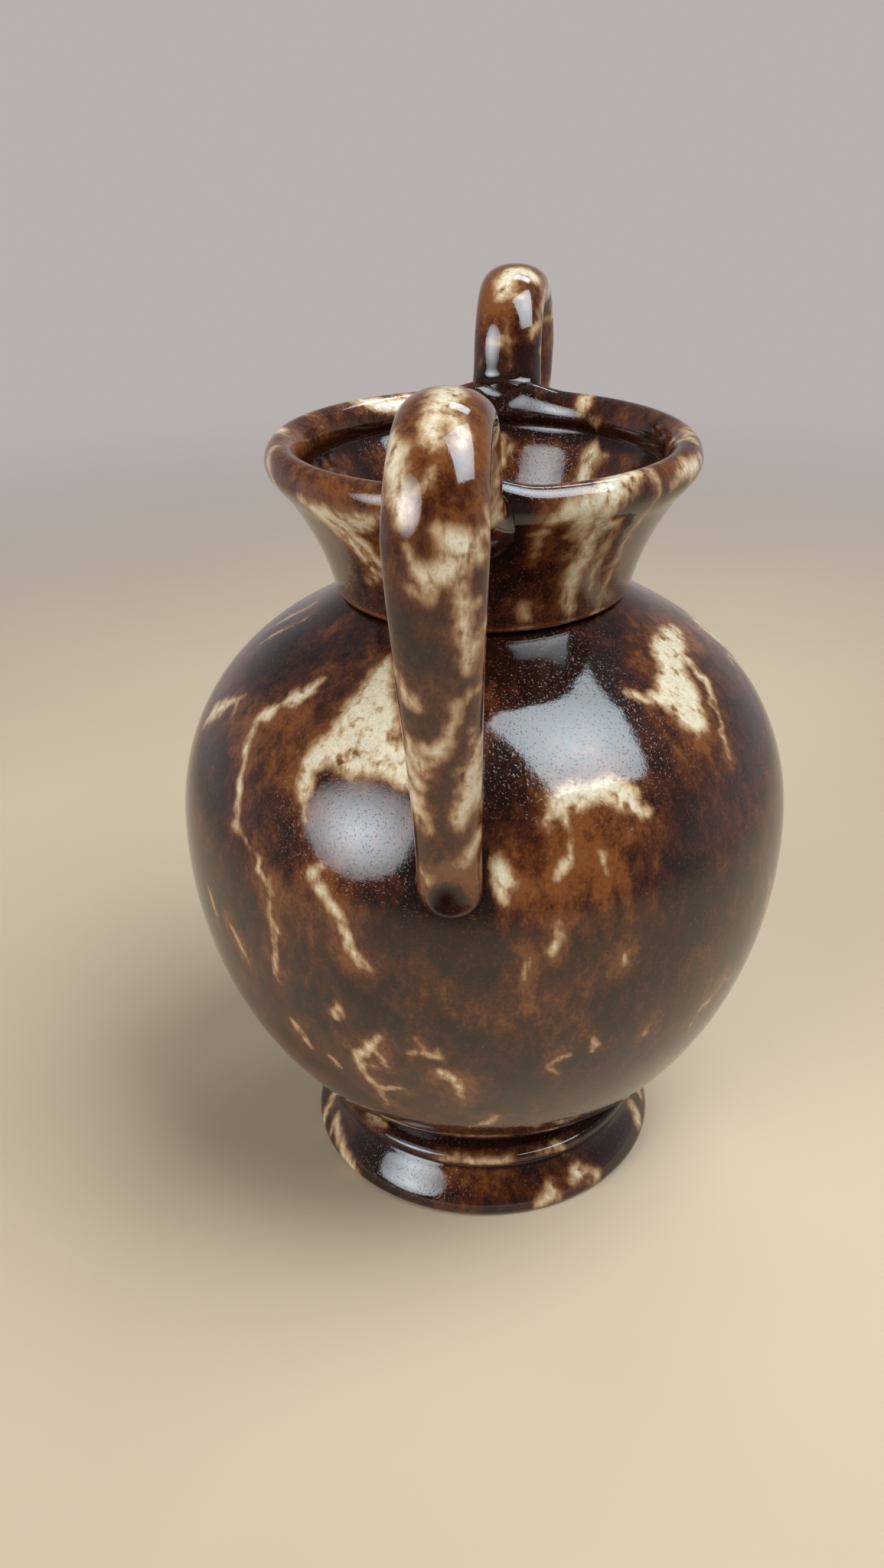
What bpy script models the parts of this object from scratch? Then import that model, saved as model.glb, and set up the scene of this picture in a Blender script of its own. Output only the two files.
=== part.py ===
"""A two-handled ceramic vase, built from the clay pieces that a potter lutes together.

The belly is turned as a hollow globe, stands on a turned foot ring and carries a turned,
flaring neck collar. Two pulled strap handles spring from the lip and land on the belly,
each with a thumb press in its lower end.

Frame: metres, +Z up, origin at the centre of the foot's underside, handles along +X and -X.
A turned profile is a list of (radius, height) points that runs down its outer side.
"""

import math

import bmesh
import bpy
from mathutils import Vector

# Joints: the thin layer of luting slip between two pieces
JOINT_GAP = 0.0003

# Foot ring
FOOT_RADIUS = 0.0373
FOOT_HEIGHT = 0.0147
FOOT_EDGE_ROUND = 0.0016
FOOT_BORE_RADIUS = 0.0255
FOOT_RING_INNER_RADIUS = 0.0285
BAND_TOP_RADIUS = 0.0326
BAND_HEIGHT = 0.0098
BAND_FLARE = 0.33
BEAD_RADIUS = 0.0016
BEAD_REACH = 0.0338
BEAD_WRAP_DEGREES = 100
BEAD_GROOVE = 0.0003

# Belly
BELLY_RADIUS = 0.0600
BELLY_BASE_RADIUS = 0.0295
BELLY_DROP = 0.0720
BELLY_RISE = 0.0485
SHOULDER_FULLNESS = 2.25
BELLY_WALL = 0.0045
BELLY_FLOOR = 0.0060
NECK_SEAT_RADIUS = 0.0262
THROAT_RADIUS = 0.0225

# Neck collar
COLLAR_SEAT_RADIUS = 0.0256
COLLAR_GROOVE_HEIGHT = 0.0026
COLLAR_BASE_RADIUS = 0.0277
COLLAR_BASE_ROUND = 0.0009
COLLAR_BASE_FLARE = 0.22
COLLAR_TOP_RADIUS = 0.0354
COLLAR_CONE_HEIGHT = 0.0175
COLLAR_WALL = 0.0043
BORE_BASE_FLARE = 0.20
BORE_TOP_FLARE = 0.50
LIP_RADIUS = 0.0394
LIP_UNDERSIDE = 0.0060
LIP_HEIGHT = 0.0037
LIP_CREST_RADIUS = 0.0367
LIP_INNER_RADIUS = 0.0326
LIP_INNER_DROP = 0.0050
CREASE_DEPTH = 0.0006
CREASE_HEIGHT = 0.0014

# Handles: pulled and luted by hand, so the left one stands a little higher and off the line
RIGHT_HANDLE_RISE = 0.0194
LEFT_HANDLE_RISE = 0.0214
RIGHT_HANDLE_DEGREES = 0
LEFT_HANDLE_DEGREES = 178.5
HANDLE_REACH = 0.0745
HANDLE_WIDTH = 0.0151
HANDLE_THICKNESS = 0.0100
HANDLE_SECTION_FULLNESS = 2.1
CROWN_WIDTH = 0.0137
HANDLE_END_WIDTH = 0.0106
ROOT_FLARE = 1.14
ROOT_DEPTH = 0.0074
ROOT_DROP = 0.0035
ASCENT_OFF_LIP = 0.0031
ARCH_HEIGHT = 0.0135
LANDING_ABOVE_WIDEST = 0.0108
LANDING_SINK = 0.0017
LANDING_SLOPE = 0.04
TONGUE_LENGTH = 0.0055
TONGUE_TIP_SHARE = 0.39
THUMB_LENGTH = 0.0120
THUMB_WIDTH = 0.0074
THUMB_DEPTH = 0.0017
THUMB_ABOVE_TIP = 0.0066

# Facets
TURN_STEPS = 64
BELLY_STEPS = 9
ROUND_STEPS = 4
FLARE_STEPS = 4
SECTION_SIDES = 20
ARCH_STEPS = 12
ASCENT_STEPS = 6
DESCENT_STEPS = 14
TONGUE_STEPS = 4
THUMB_SEGMENTS = 16
THUMB_RINGS = 10
SHARP_EDGE_DEGREES = 50
WELD_DISTANCE = 0.000001

# Finishes: colour, roughness
BELLY_GLAZE = (0.105, 0.040, 0.016), 0.08
COLLAR_GLAZE = (0.120, 0.050, 0.022), 0.08
FOOT_GLAZE = (0.080, 0.028, 0.012), 0.08
HANDLE_GLAZE = (0.170, 0.080, 0.034), 0.08

# Heights that follow from the sizes above
BELLY_BASE_Z = FOOT_HEIGHT + JOINT_GAP
BELLY_WIDEST_Z = BELLY_BASE_Z + BELLY_DROP * math.sqrt(
    1 - (BELLY_BASE_RADIUS / BELLY_RADIUS) ** 2
)


def superellipse_height(radius, half_width, rise, fullness):
    """How far above its widest line a superellipse has this radius."""
    return rise * (1 - (radius / half_width) ** fullness) ** (1 / fullness)


def superellipse_radius(height, half_width, rise, fullness):
    """The radius of a superellipse at this height above its widest line."""
    share = min(abs(height) / rise, 1)
    return half_width * (1 - share ** fullness) ** (1 / fullness)


SEAT_Z = BELLY_WIDEST_Z + superellipse_height(
    NECK_SEAT_RADIUS, BELLY_RADIUS, BELLY_RISE, SHOULDER_FULLNESS
)
COLLAR_Z = SEAT_Z + JOINT_GAP
COLLAR_EDGE_Z = COLLAR_Z + COLLAR_GROOVE_HEIGHT + COLLAR_BASE_ROUND
CONE_TOP_Z = COLLAR_EDGE_Z + COLLAR_CONE_HEIGHT
LIP_EDGE_Z = CONE_TOP_Z + LIP_UNDERSIDE
LIP_CREST_Z = LIP_EDGE_Z + LIP_HEIGHT


def spread(first, last, steps):
    """Evenly spaced numbers from first to last, both included."""
    return [first + (last - first) * i / steps for i in range(steps + 1)]


def arc(centre, radius, start, end, steps):
    """Points of an arc in the (radius, height) plane, angles in degrees from outwards to up."""
    angles = [math.radians(a) for a in spread(start, end, steps)]
    return [
        (centre[0] + radius[0] * math.cos(a), centre[1] + radius[1] * math.sin(a))
        for a in angles
    ]


def bezier(start, first_handle, second_handle, end, steps):
    """Points of a cubic curve."""
    points = []
    for t in spread(0, 1, steps):
        weights = ((1 - t) ** 3, 3 * t * (1 - t) ** 2, 3 * t * t * (1 - t), t ** 3)
        corners = (start, first_handle, second_handle, end)
        points.append(
            tuple(sum(w * c[k] for w, c in zip(weights, corners)) for k in (0, 1))
        )
    return points


def joined(*stretches):
    """One list of points from several, with a point shared by two of them kept once."""
    points = []
    for point in (p for stretch in stretches for p in stretch):
        if not points or math.dist(point, points[-1]) > WELD_DISTANCE:
            points.append(point)
    return points


def offset(points, distance):
    """A profile moved out by a distance, square to itself, on the side left of its run."""
    moved = []
    for i, point in enumerate(points):
        before = points[max(i - 1, 0)]
        after = points[min(i + 1, len(points) - 1)]
        run = math.dist(before, after)
        out = ((before[1] - after[1]) / run, (after[0] - before[0]) / run)
        moved.append((point[0] + distance * out[0], point[1] + distance * out[1]))
    return moved


def globe(half_width, rise, drop, top_radius, bottom_radius):
    """Points down a globe from top_radius above its widest line to bottom_radius below it."""
    top = superellipse_height(top_radius, half_width, rise, SHOULDER_FULLNESS)
    bottom = superellipse_height(bottom_radius, half_width, drop, 2)
    points = []
    for turn in spread(math.asin(top / rise), 0, BELLY_STEPS):
        height = rise * math.sin(turn)
        radius = superellipse_radius(height, half_width, rise, SHOULDER_FULLNESS)
        points.append((radius, BELLY_WIDEST_Z + height))
    for turn in spread(0, math.asin(bottom / drop), BELLY_STEPS):
        height = drop * math.sin(turn)
        radius = superellipse_radius(height, half_width, drop, 2)
        points.append((radius, BELLY_WIDEST_Z - height))
    return joined(points)


def belly_profile():
    """From the middle of the floor up the inside, over the seat and down to the base."""
    inner_radius = BELLY_RADIUS - BELLY_WALL
    inner_drop = BELLY_DROP - BELLY_WALL
    floor_z = BELLY_BASE_Z + BELLY_FLOOR
    floor_radius = superellipse_radius(
        BELLY_WIDEST_Z - floor_z, inner_radius, inner_drop, 2
    )
    inside = globe(
        inner_radius, BELLY_RISE - BELLY_WALL, inner_drop, THROAT_RADIUS, floor_radius
    )
    outside = globe(
        BELLY_RADIUS, BELLY_RISE, BELLY_DROP, NECK_SEAT_RADIUS, BELLY_BASE_RADIUS
    )
    return joined(
        [(0, floor_z)],
        reversed(inside),
        [(THROAT_RADIUS, SEAT_Z)],
        outside,
        [(0, BELLY_BASE_Z)],
    )


def collar_outside():
    """From the crest of the lip down the flare to the edge of the seat."""
    cone_top = (COLLAR_TOP_RADIUS, CONE_TOP_Z)
    lip_edge = (LIP_RADIUS, LIP_EDGE_Z)
    base_edge = (COLLAR_BASE_RADIUS, COLLAR_EDGE_Z)
    third = COLLAR_CONE_HEIGHT / 3
    flare_in = (LIP_RADIUS - COLLAR_TOP_RADIUS) / LIP_UNDERSIDE
    crest_to_edge = arc(
        (LIP_CREST_RADIUS, LIP_EDGE_Z),
        (LIP_RADIUS - LIP_CREST_RADIUS, LIP_HEIGHT),
        90,
        0,
        ROUND_STEPS,
    )
    underside = bezier(
        lip_edge,
        (LIP_RADIUS, LIP_EDGE_Z - LIP_UNDERSIDE / 3),
        (COLLAR_TOP_RADIUS + flare_in * LIP_UNDERSIDE / 3, CONE_TOP_Z + LIP_UNDERSIDE / 3),
        cone_top,
        FLARE_STEPS,
    )
    cone = bezier(
        cone_top,
        (COLLAR_TOP_RADIUS - flare_in * third, CONE_TOP_Z - third),
        (COLLAR_BASE_RADIUS + COLLAR_BASE_FLARE * third, COLLAR_EDGE_Z + third),
        base_edge,
        FLARE_STEPS,
    )
    edge = arc(
        (COLLAR_BASE_RADIUS - COLLAR_BASE_ROUND, COLLAR_EDGE_Z),
        (COLLAR_BASE_ROUND, COLLAR_BASE_ROUND),
        0,
        -90,
        ROUND_STEPS // 2,
    )
    groove = [(COLLAR_SEAT_RADIUS, edge[-1][1]), (COLLAR_SEAT_RADIUS, COLLAR_Z)]
    return joined(crest_to_edge, underside, cone, edge, groove)


def collar_inside():
    """From the throat up the bore to the crest of the lip."""
    inner_top = (COLLAR_TOP_RADIUS - COLLAR_WALL, CONE_TOP_Z)
    crease_z = LIP_CREST_Z - LIP_INNER_DROP
    crease = (LIP_INNER_RADIUS + CREASE_DEPTH, crease_z - CREASE_HEIGHT)
    third = (CONE_TOP_Z - COLLAR_Z) / 3
    bore = bezier(
        (THROAT_RADIUS, COLLAR_Z),
        (THROAT_RADIUS + BORE_BASE_FLARE * third, COLLAR_Z + third),
        (inner_top[0] - BORE_TOP_FLARE * third, CONE_TOP_Z - third),
        inner_top,
        FLARE_STEPS,
    )
    roll = arc(
        (LIP_CREST_RADIUS, crease_z),
        (LIP_CREST_RADIUS - LIP_INNER_RADIUS, LIP_INNER_DROP),
        180,
        90,
        ROUND_STEPS,
    )
    return joined(bore, [crease], roll)


def foot_profile():
    """Down the outside of the ring from its top, under the rim and up the bore."""
    bead = arc(
        (BEAD_REACH - BEAD_RADIUS, BAND_HEIGHT + BEAD_RADIUS + BEAD_GROOVE),
        (BEAD_RADIUS, BEAD_RADIUS),
        BEAD_WRAP_DEGREES,
        -BEAD_WRAP_DEGREES,
        ROUND_STEPS + 2,
    )
    rim_centre = (FOOT_RADIUS - FOOT_EDGE_ROUND, FOOT_EDGE_ROUND)
    rim = arc(rim_centre, (FOOT_EDGE_ROUND, FOOT_EDGE_ROUND), 0, -90, ROUND_STEPS // 2)
    third = (BAND_HEIGHT - FOOT_EDGE_ROUND) / 3
    band = bezier(
        (BAND_TOP_RADIUS, BAND_HEIGHT),
        (BAND_TOP_RADIUS + BAND_FLARE * third, BAND_HEIGHT - third),
        (FOOT_RADIUS, FOOT_EDGE_ROUND + third),
        rim[0],
        FLARE_STEPS,
    )
    return joined(
        [(BELLY_BASE_RADIUS, FOOT_HEIGHT)],
        bead,
        band,
        rim,
        [(FOOT_RING_INNER_RADIUS, 0), (FOOT_BORE_RADIUS, FOOT_HEIGHT)],
    )


def belly_radius_at(z):
    """The belly's outer radius at a height above its widest line."""
    return superellipse_radius(
        z - BELLY_WIDEST_Z, BELLY_RADIUS, BELLY_RISE, SHOULDER_FULLNESS
    )


def handle_route(rise):
    """The strap's middle line: (distance from the vase's axis, height, share of full section)."""
    crown_share = CROWN_WIDTH / HANDLE_WIDTH
    end_share = HANDLE_END_WIDTH / HANDLE_WIDTH
    root = (LIP_RADIUS - ROOT_DEPTH, LIP_EDGE_Z - ROOT_DROP)
    # The arch spans from the ascent, just outside the lip, to the handle's reach.
    ascent_x = LIP_RADIUS + ASCENT_OFF_LIP
    span = HANDLE_REACH - HANDLE_THICKNESS / 2 - ascent_x
    crown_z = LIP_CREST_Z + rise - crown_share * HANDLE_THICKNESS / 2
    springing = (ascent_x + span / 2, crown_z - ARCH_HEIGHT)
    arch = arc(springing, (span / 2, ARCH_HEIGHT), 180, 0, ARCH_STEPS)
    # The ascent leaves the lip's side low and turns straight up into the arch.
    ascent = bezier(
        root,
        ((root[0] + ascent_x) / 2, root[1] + ROOT_DROP / 2),
        (ascent_x, root[1] + ROOT_DROP),
        arch[0],
        ASCENT_STEPS,
    )
    tip_z = BELLY_WIDEST_Z + LANDING_ABOVE_WIDEST
    tip = (belly_radius_at(tip_z) - LANDING_SINK, tip_z)
    third = (arch[-1][1] - tip_z) / 3
    descent = bezier(
        arch[-1],
        (arch[-1][0], arch[-1][1] - third),
        (tip[0] + LANDING_SLOPE * third, tip_z + third),
        tip,
        DESCENT_STEPS,
    )
    # The section is slim over the crown, widest where the descent begins, and then tapers.
    route = []
    for i, point in enumerate(ascent):
        flare = (ROOT_FLARE - 1) * (1 - i / ASCENT_STEPS) ** 2
        route.append((*point, crown_share * (1 + flare)))
    for i, point in enumerate(arch[1:], start=1):
        past_crown = max(2 * i / ARCH_STEPS - 1, 0)
        route.append((*point, crown_share + (1 - crown_share) * past_crown))
    for i, point in enumerate(descent[1:], start=1):
        taper = (1 - end_share) * math.sin(math.pi / 2 * i / DESCENT_STEPS)
        route.append((*point, 1 - taper))
    # The tongue at the end narrows in a half round.
    route = [p for p in route if p[1] > tip_z + TONGUE_LENGTH]
    last = route[-1]
    for turn in spread(0, math.pi / 2, TONGUE_STEPS)[1:]:
        along = math.sin(turn)
        narrowing = math.sqrt(1 - (1 - TONGUE_TIP_SHARE ** 2) * along ** 2)
        route.append(
            (
                last[0] + (tip[0] - last[0]) * along,
                last[1] + (tip_z - last[1]) * along,
                last[2] * narrowing,
            )
        )
    return route


def collection(name):
    made = bpy.data.collections.new(name)
    bpy.context.scene.collection.children.link(made)
    return made


def glaze(name, finish):
    """A glossy coat of one colour."""
    colour, roughness = finish
    material = bpy.data.materials.new(name)
    material.use_nodes = True
    shader = material.node_tree.nodes["Principled BSDF"]
    shader.inputs["Base Color"].default_value = (*colour, 1)
    shader.inputs["Roughness"].default_value = roughness
    shader.inputs["Metallic"].default_value = 0.0
    shader.inputs["Coat Weight"].default_value = 1.0
    material.diffuse_color = (*colour, 1)
    return material


def turned(name, profile, closed, home):
    """A profile turned about the Z axis. A closed profile joins its last point to its first."""
    mesh = bpy.data.meshes.new(name)
    edges = [(i, i + 1) for i in range(len(profile) - 1)]
    if closed:
        edges.append((len(profile) - 1, 0))
    mesh.from_pydata([(radius, 0, z) for radius, z in profile], edges, [])
    made = bpy.data.objects.new(name, mesh)
    home.objects.link(made)
    screw = made.modifiers.new("Turn", "SCREW")
    screw.axis = "Z"
    screw.steps = TURN_STEPS
    screw.render_steps = TURN_STEPS
    screw.use_merge_vertices = True
    screw.merge_threshold = WELD_DISTANCE
    screw.use_smooth_shade = True
    return made


def as_cutter(made):
    made.hide_render = True
    made.display_type = "WIRE"
    return made


def cut(piece, cutter):
    boolean = piece.modifiers.new(f"Cut by {cutter.name}", "BOOLEAN")
    boolean.operation = "DIFFERENCE"
    boolean.object = cutter


def strap_section(home):
    """The flattened oval that runs along the handle, its width square to the arch."""
    curve = bpy.data.curves.new("strap_section", "CURVE")
    spline = curve.splines.new("POLY")
    spline.points.add(SECTION_SIDES - 1)
    power = 2 / HANDLE_SECTION_FULLNESS
    for i, point in enumerate(spline.points):
        turn = 2 * math.pi * i / SECTION_SIDES
        across = math.copysign(abs(math.cos(turn)) ** power, math.cos(turn))
        through = math.copysign(abs(math.sin(turn)) ** power, math.sin(turn))
        point.co = (across * HANDLE_WIDTH / 2, through * HANDLE_THICKNESS / 2, 0, 1)
    spline.use_cyclic_u = True
    made = bpy.data.objects.new("strap_section", curve)
    home.objects.link(made)
    return as_cutter(made)


def strap_mesh(name, route, section, home):
    """A handle on the +X side, before it is cut to the vase."""
    curve = bpy.data.curves.new(name, "CURVE")
    curve.dimensions = "3D"
    curve.twist_mode = "MINIMUM"
    curve.bevel_mode = "OBJECT"
    curve.bevel_object = section
    curve.use_fill_caps = True
    spline = curve.splines.new("POLY")
    spline.points.add(len(route) - 1)
    for point, (distance, z, share) in zip(spline.points, route):
        point.co = (distance, 0, z, 1)
        point.radius = share
    made = bpy.data.objects.new(name, curve)
    home.objects.link(made)
    graph = bpy.context.evaluated_depsgraph_get()
    mesh = bpy.data.meshes.new_from_object(made.evaluated_get(graph))
    bpy.data.objects.remove(made)
    welded = bmesh.new()
    welded.from_mesh(mesh)
    bmesh.ops.remove_doubles(welded, verts=welded.verts, dist=WELD_DISTANCE)
    bmesh.ops.recalc_face_normals(welded, faces=welded.faces)
    welded.to_mesh(mesh)
    welded.free()
    mesh.shade_smooth()
    mesh.set_sharp_from_angle(angle=math.radians(SHARP_EDGE_DEGREES))
    return mesh


def thumb_press(name, route, home):
    """An egg-shaped cutter lying in the outer face of the handle's lower end."""
    tip_x, tip_z, _ = route[-1]
    above_x, above_z, share = route[-1 - TONGUE_STEPS]
    along = Vector((above_x - tip_x, 0, above_z - tip_z)).normalized()
    out = Vector((along.z, 0, -along.x))
    mesh = bpy.data.meshes.new(name)
    egg = bmesh.new()
    bmesh.ops.create_uvsphere(
        egg, u_segments=THUMB_SEGMENTS, v_segments=THUMB_RINGS, radius=1
    )
    half_height = 2 * THUMB_DEPTH
    middle = Vector((tip_x, 0, tip_z)) + along * THUMB_ABOVE_TIP
    middle += out * (share * HANDLE_THICKNESS / 2 + half_height - THUMB_DEPTH)
    for vertex in egg.verts:
        local = vertex.co.copy()
        vertex.co = (
            middle
            + along * (local.z * THUMB_LENGTH / 2)
            + Vector((0, local.y * THUMB_WIDTH / 2, 0))
            + out * (local.x * half_height)
        )
    bmesh.ops.recalc_face_normals(egg, faces=egg.faces)
    egg.to_mesh(mesh)
    egg.free()
    made = bpy.data.objects.new(name, mesh)
    home.objects.link(made)
    return as_cutter(made)


def main():
    for old in list(bpy.data.objects):
        bpy.data.objects.remove(old)
    vase = collection("handled_vase")
    cutters = collection("cutters")
    axis = bpy.data.objects.new("vase_axis", None)
    vase.objects.link(axis)

    belly = turned("belly", belly_profile(), False, vase)
    belly.data.materials.append(glaze("belly_glaze", BELLY_GLAZE))
    collar = turned("neck_collar", collar_outside() + collar_inside(), True, vase)
    collar.data.materials.append(glaze("collar_glaze", COLLAR_GLAZE))
    foot = turned("foot_ring", foot_profile(), True, vase)
    foot.data.materials.append(glaze("foot_glaze", FOOT_GLAZE))

    # The handles stop one joint gap short of the collar and of the belly.
    lip = offset(collar_outside(), JOINT_GAP)
    around_collar = as_cutter(
        turned("around_collar", [(0, lip[0][1])] + lip + [(0, lip[-1][1])], False, cutters)
    )
    globe_outside = globe(
        BELLY_RADIUS + JOINT_GAP, BELLY_RISE + JOINT_GAP, BELLY_DROP + JOINT_GAP, 0, 0
    )
    around_belly = as_cutter(turned("around_belly", globe_outside, False, cutters))

    pieces = [belly, collar, foot]
    section = strap_section(cutters)
    finish = glaze("handle_glaze", HANDLE_GLAZE)
    for name, rise, turn in (
        ("right_handle", RIGHT_HANDLE_RISE, RIGHT_HANDLE_DEGREES),
        ("left_handle", LEFT_HANDLE_RISE, LEFT_HANDLE_DEGREES),
    ):
        route = handle_route(rise)
        strap = strap_mesh(name, route, section, cutters)
        strap.materials.append(finish)
        handle = bpy.data.objects.new(name, strap)
        vase.objects.link(handle)
        press = thumb_press(f"thumb_press_{name}", route, cutters)
        press.parent = handle
        for cutter in (press, around_collar, around_belly):
            cut(handle, cutter)
        handle.rotation_euler.z = math.radians(turn)
        pieces.append(handle)
    for piece in pieces:
        piece.parent = axis


main()
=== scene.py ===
"""The looks of the handled vase: finer pieces in place of the CAD nodes, and their glaze.

The pieces are turned and swept from the CAD's own sizes, which part.py holds in metres and
this script in millimetres. Forms too fine for the CAD's solids are added here: the cove under
the collar, the lip drawn up beside the handles, the soft scoop of the thumb press and the
flares of slip round the handles' ends.

The tortoiseshell glaze is brown with pale veins. The veins are strokes laid on each piece:
those on the side that the photograph shows follow it, and the rest wander at random
from a fixed seed. A piece's vertices hold how deep they lie in the nearest vein, and the
material's noise feathers its edge.
"""

import math
import random

import bpy
import numpy as np
from mathutils import Matrix, Vector
from mathutils.kdtree import KDTree


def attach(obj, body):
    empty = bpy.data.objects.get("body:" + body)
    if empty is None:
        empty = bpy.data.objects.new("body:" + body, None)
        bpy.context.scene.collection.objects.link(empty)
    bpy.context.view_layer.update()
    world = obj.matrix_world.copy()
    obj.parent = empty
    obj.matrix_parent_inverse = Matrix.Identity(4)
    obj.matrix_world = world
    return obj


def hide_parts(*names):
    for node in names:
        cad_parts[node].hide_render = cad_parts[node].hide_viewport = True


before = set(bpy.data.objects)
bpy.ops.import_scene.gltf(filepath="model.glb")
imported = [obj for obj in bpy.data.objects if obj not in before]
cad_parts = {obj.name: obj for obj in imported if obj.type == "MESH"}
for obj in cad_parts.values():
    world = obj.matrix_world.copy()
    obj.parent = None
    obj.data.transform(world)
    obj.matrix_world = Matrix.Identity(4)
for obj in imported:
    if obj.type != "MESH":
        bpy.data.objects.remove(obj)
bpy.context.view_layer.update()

MM = 0.001
SEED = 11

# ---- sizes in mm, as in part.py

JOINT_GAP = 0.3

FOOT_RADIUS, FOOT_HEIGHT, FOOT_EDGE_ROUND = 37.3, 14.7, 1.6
FOOT_BORE_RADIUS, FOOT_RING_INNER_RADIUS = 25.5, 28.5
BAND_TOP_RADIUS, BAND_HEIGHT, BAND_FLARE = 32.6, 9.8, 0.33
BEAD_RADIUS, BEAD_REACH, BEAD_WRAP, BEAD_GROOVE = 1.6, 33.8, 100, 0.3

BELLY_RADIUS, BELLY_BASE_RADIUS, BELLY_DROP, BELLY_RISE = 60.0, 29.5, 72.0, 48.5
SHOULDER_FULLNESS, LOWER_FULLNESS = 2.25, 2  # 2 is a plain ellipse
UPPER_HALF = BELLY_RADIUS, BELLY_RISE, SHOULDER_FULLNESS
LOWER_HALF = BELLY_RADIUS, BELLY_DROP, LOWER_FULLNESS
BELLY_WALL, BELLY_FLOOR = 4.5, 6.0
NECK_SEAT_RADIUS, THROAT_RADIUS = 26.2, 22.5

COLLAR_SEAT_RADIUS, COLLAR_GROOVE_HEIGHT = 25.6, 2.6
COLLAR_BASE_RADIUS, COLLAR_BASE_ROUND, COLLAR_BASE_FLARE = 27.7, 0.9, 0.22
COLLAR_TOP_RADIUS, COLLAR_CONE_HEIGHT, COLLAR_WALL = 35.4, 17.5, 4.3
BORE_BASE_FLARE, BORE_TOP_FLARE = 0.20, 0.50
LIP_RADIUS, LIP_UNDERSIDE, LIP_HEIGHT, LIP_CREST_RADIUS = 39.4, 6.0, 3.7, 36.7
LIP_INNER_RADIUS, LIP_INNER_DROP, CREASE_DEPTH, CREASE_HEIGHT = 32.6, 5.0, 0.6, 1.4

RIGHT_HANDLE_RISE, LEFT_HANDLE_RISE = 19.4, 21.4
RIGHT_HANDLE_DEGREES, LEFT_HANDLE_DEGREES = 0.0, 178.5
HANDLE_REACH, HANDLE_WIDTH, HANDLE_THICKNESS, SECTION_FULLNESS = 74.5, 15.1, 10.0, 2.1
CROWN_WIDTH, HANDLE_END_WIDTH, ROOT_FLARE, ROOT_DEPTH, ROOT_DROP = 13.7, 10.6, 1.14, 7.4, 3.5
ASCENT_OFF_LIP, ARCH_HEIGHT = 3.1, 13.5
LANDING_ABOVE_WIDEST, LANDING_SINK, LANDING_SLOPE = 10.8, 1.7, 0.04
TONGUE_LENGTH, TONGUE_TIP_SHARE = 5.5, 0.39

# ---- sizes in mm, finer than the CAD

JOINT_OVERLAP = 0.35  # how far two pieces run into each other here, so that no gap shows
FOOT_LEDGE, BASE_CORNER = 0.3, 1.5  # steps by the joint of belly and foot
BARE_BELOW = 0.25  # the foot is unglazed up to here
COVE_RADIUS, COVE_HEIGHT = 38.0, 2.4  # where the shoulder was smoothed up to the collar
SWEEP_HEIGHT, SWEEP_AT = 1.5, 5.0  # the lip drawn up beside the handles
SWEEP_OUTER_WIDTH, SWEEP_INNER_WIDTH = 4.6, 3.22
BELLY_FLARE, BELLY_FLARE_REACH = 0.55, 0.8  # slip round a handle's end on the belly
LIP_FLARE, LIP_FLARE_REACH = 1.7, 1.8  # and round its root under the lip
SCOOP_DEPTH, SCOOP_POWER, SCOOP_ABOVE_TIP = 1.7, 1.1, 4.6  # the thumb press
SCOOP_LEFT, SCOOP_RIGHT, SCOOP_ABOVE, SCOOP_BELOW = 3.2, 4.8, 9.0, 3.4
RIM_HEIGHT, RIM_AT, RIM_WIDTH, RIM_TOP = 0.25, 1.05, 0.16, 0.6  # the last three in scoop sizes

BELLY_STEPS, COLLAR_STEPS, FOOT_STEPS, PLUG_STEPS = 448, 336, 336, 160  # round the axis
SKIN_SPACING, INSIDE_SPACING, FLAT_SPACING, STRAP_SPACING = 0.85, 4.5, 7, 0.5  # of points
TONGUE_STEPS, SHARP_DEGREES, SAME_POINT, ON_AXIS = 16, 55, 1e-4, 1e-3

# ---- how the glaze ran

DOWN, START_SPREAD, TURN_SPREAD, PULL_DOWN = -90, 30, 28, 0.15  # a stroke's heading in degrees
STROKE_STEP, PATH_SPACING, SWAY = 2.0, 1.3, 0.3  # in mm
NUDGE, LEAST_ACROSS, LEAST_ALONG = 0.05, 0.02, 0.5  # for the mm in a step across or along
STEP_WIDTHS, PATH_WIDTHS = (0.7, 1.2), (0.8, 1.2)  # how a stroke's width changes along it
END_SHARE, SWELL = 0.6, 0.6  # how it thins towards its ends
BRANCH_SHARE, BRANCH_TURN, BRANCH_LENGTH, BRANCH_WIDTH = 0.45, (40, 80), 0.5, 0.7
HAIR_SHARE, HAIR_SPREAD, HAIR_WIDTHS = 0.22, 45, (0.3, 0.5)
SHORTEST_HAIR, LONGEST_HAIR, ANYWHERE = 3, 4, 1000
FARTHEST, DEEPEST = 8.0, 1.7  # in mm, from a vein and in it
THIN_WIDTHS = -0.3, 0.3, 1.0, 2.0  # the half widths between which a stroke may end steeply
BELLY_STEEPNESS = 1.75  # how much faster
WILD_TONE_REACH, WILD_TONE_AMOUNTS = (5, 10), (-0.6, 0.5, 0.7)
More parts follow.
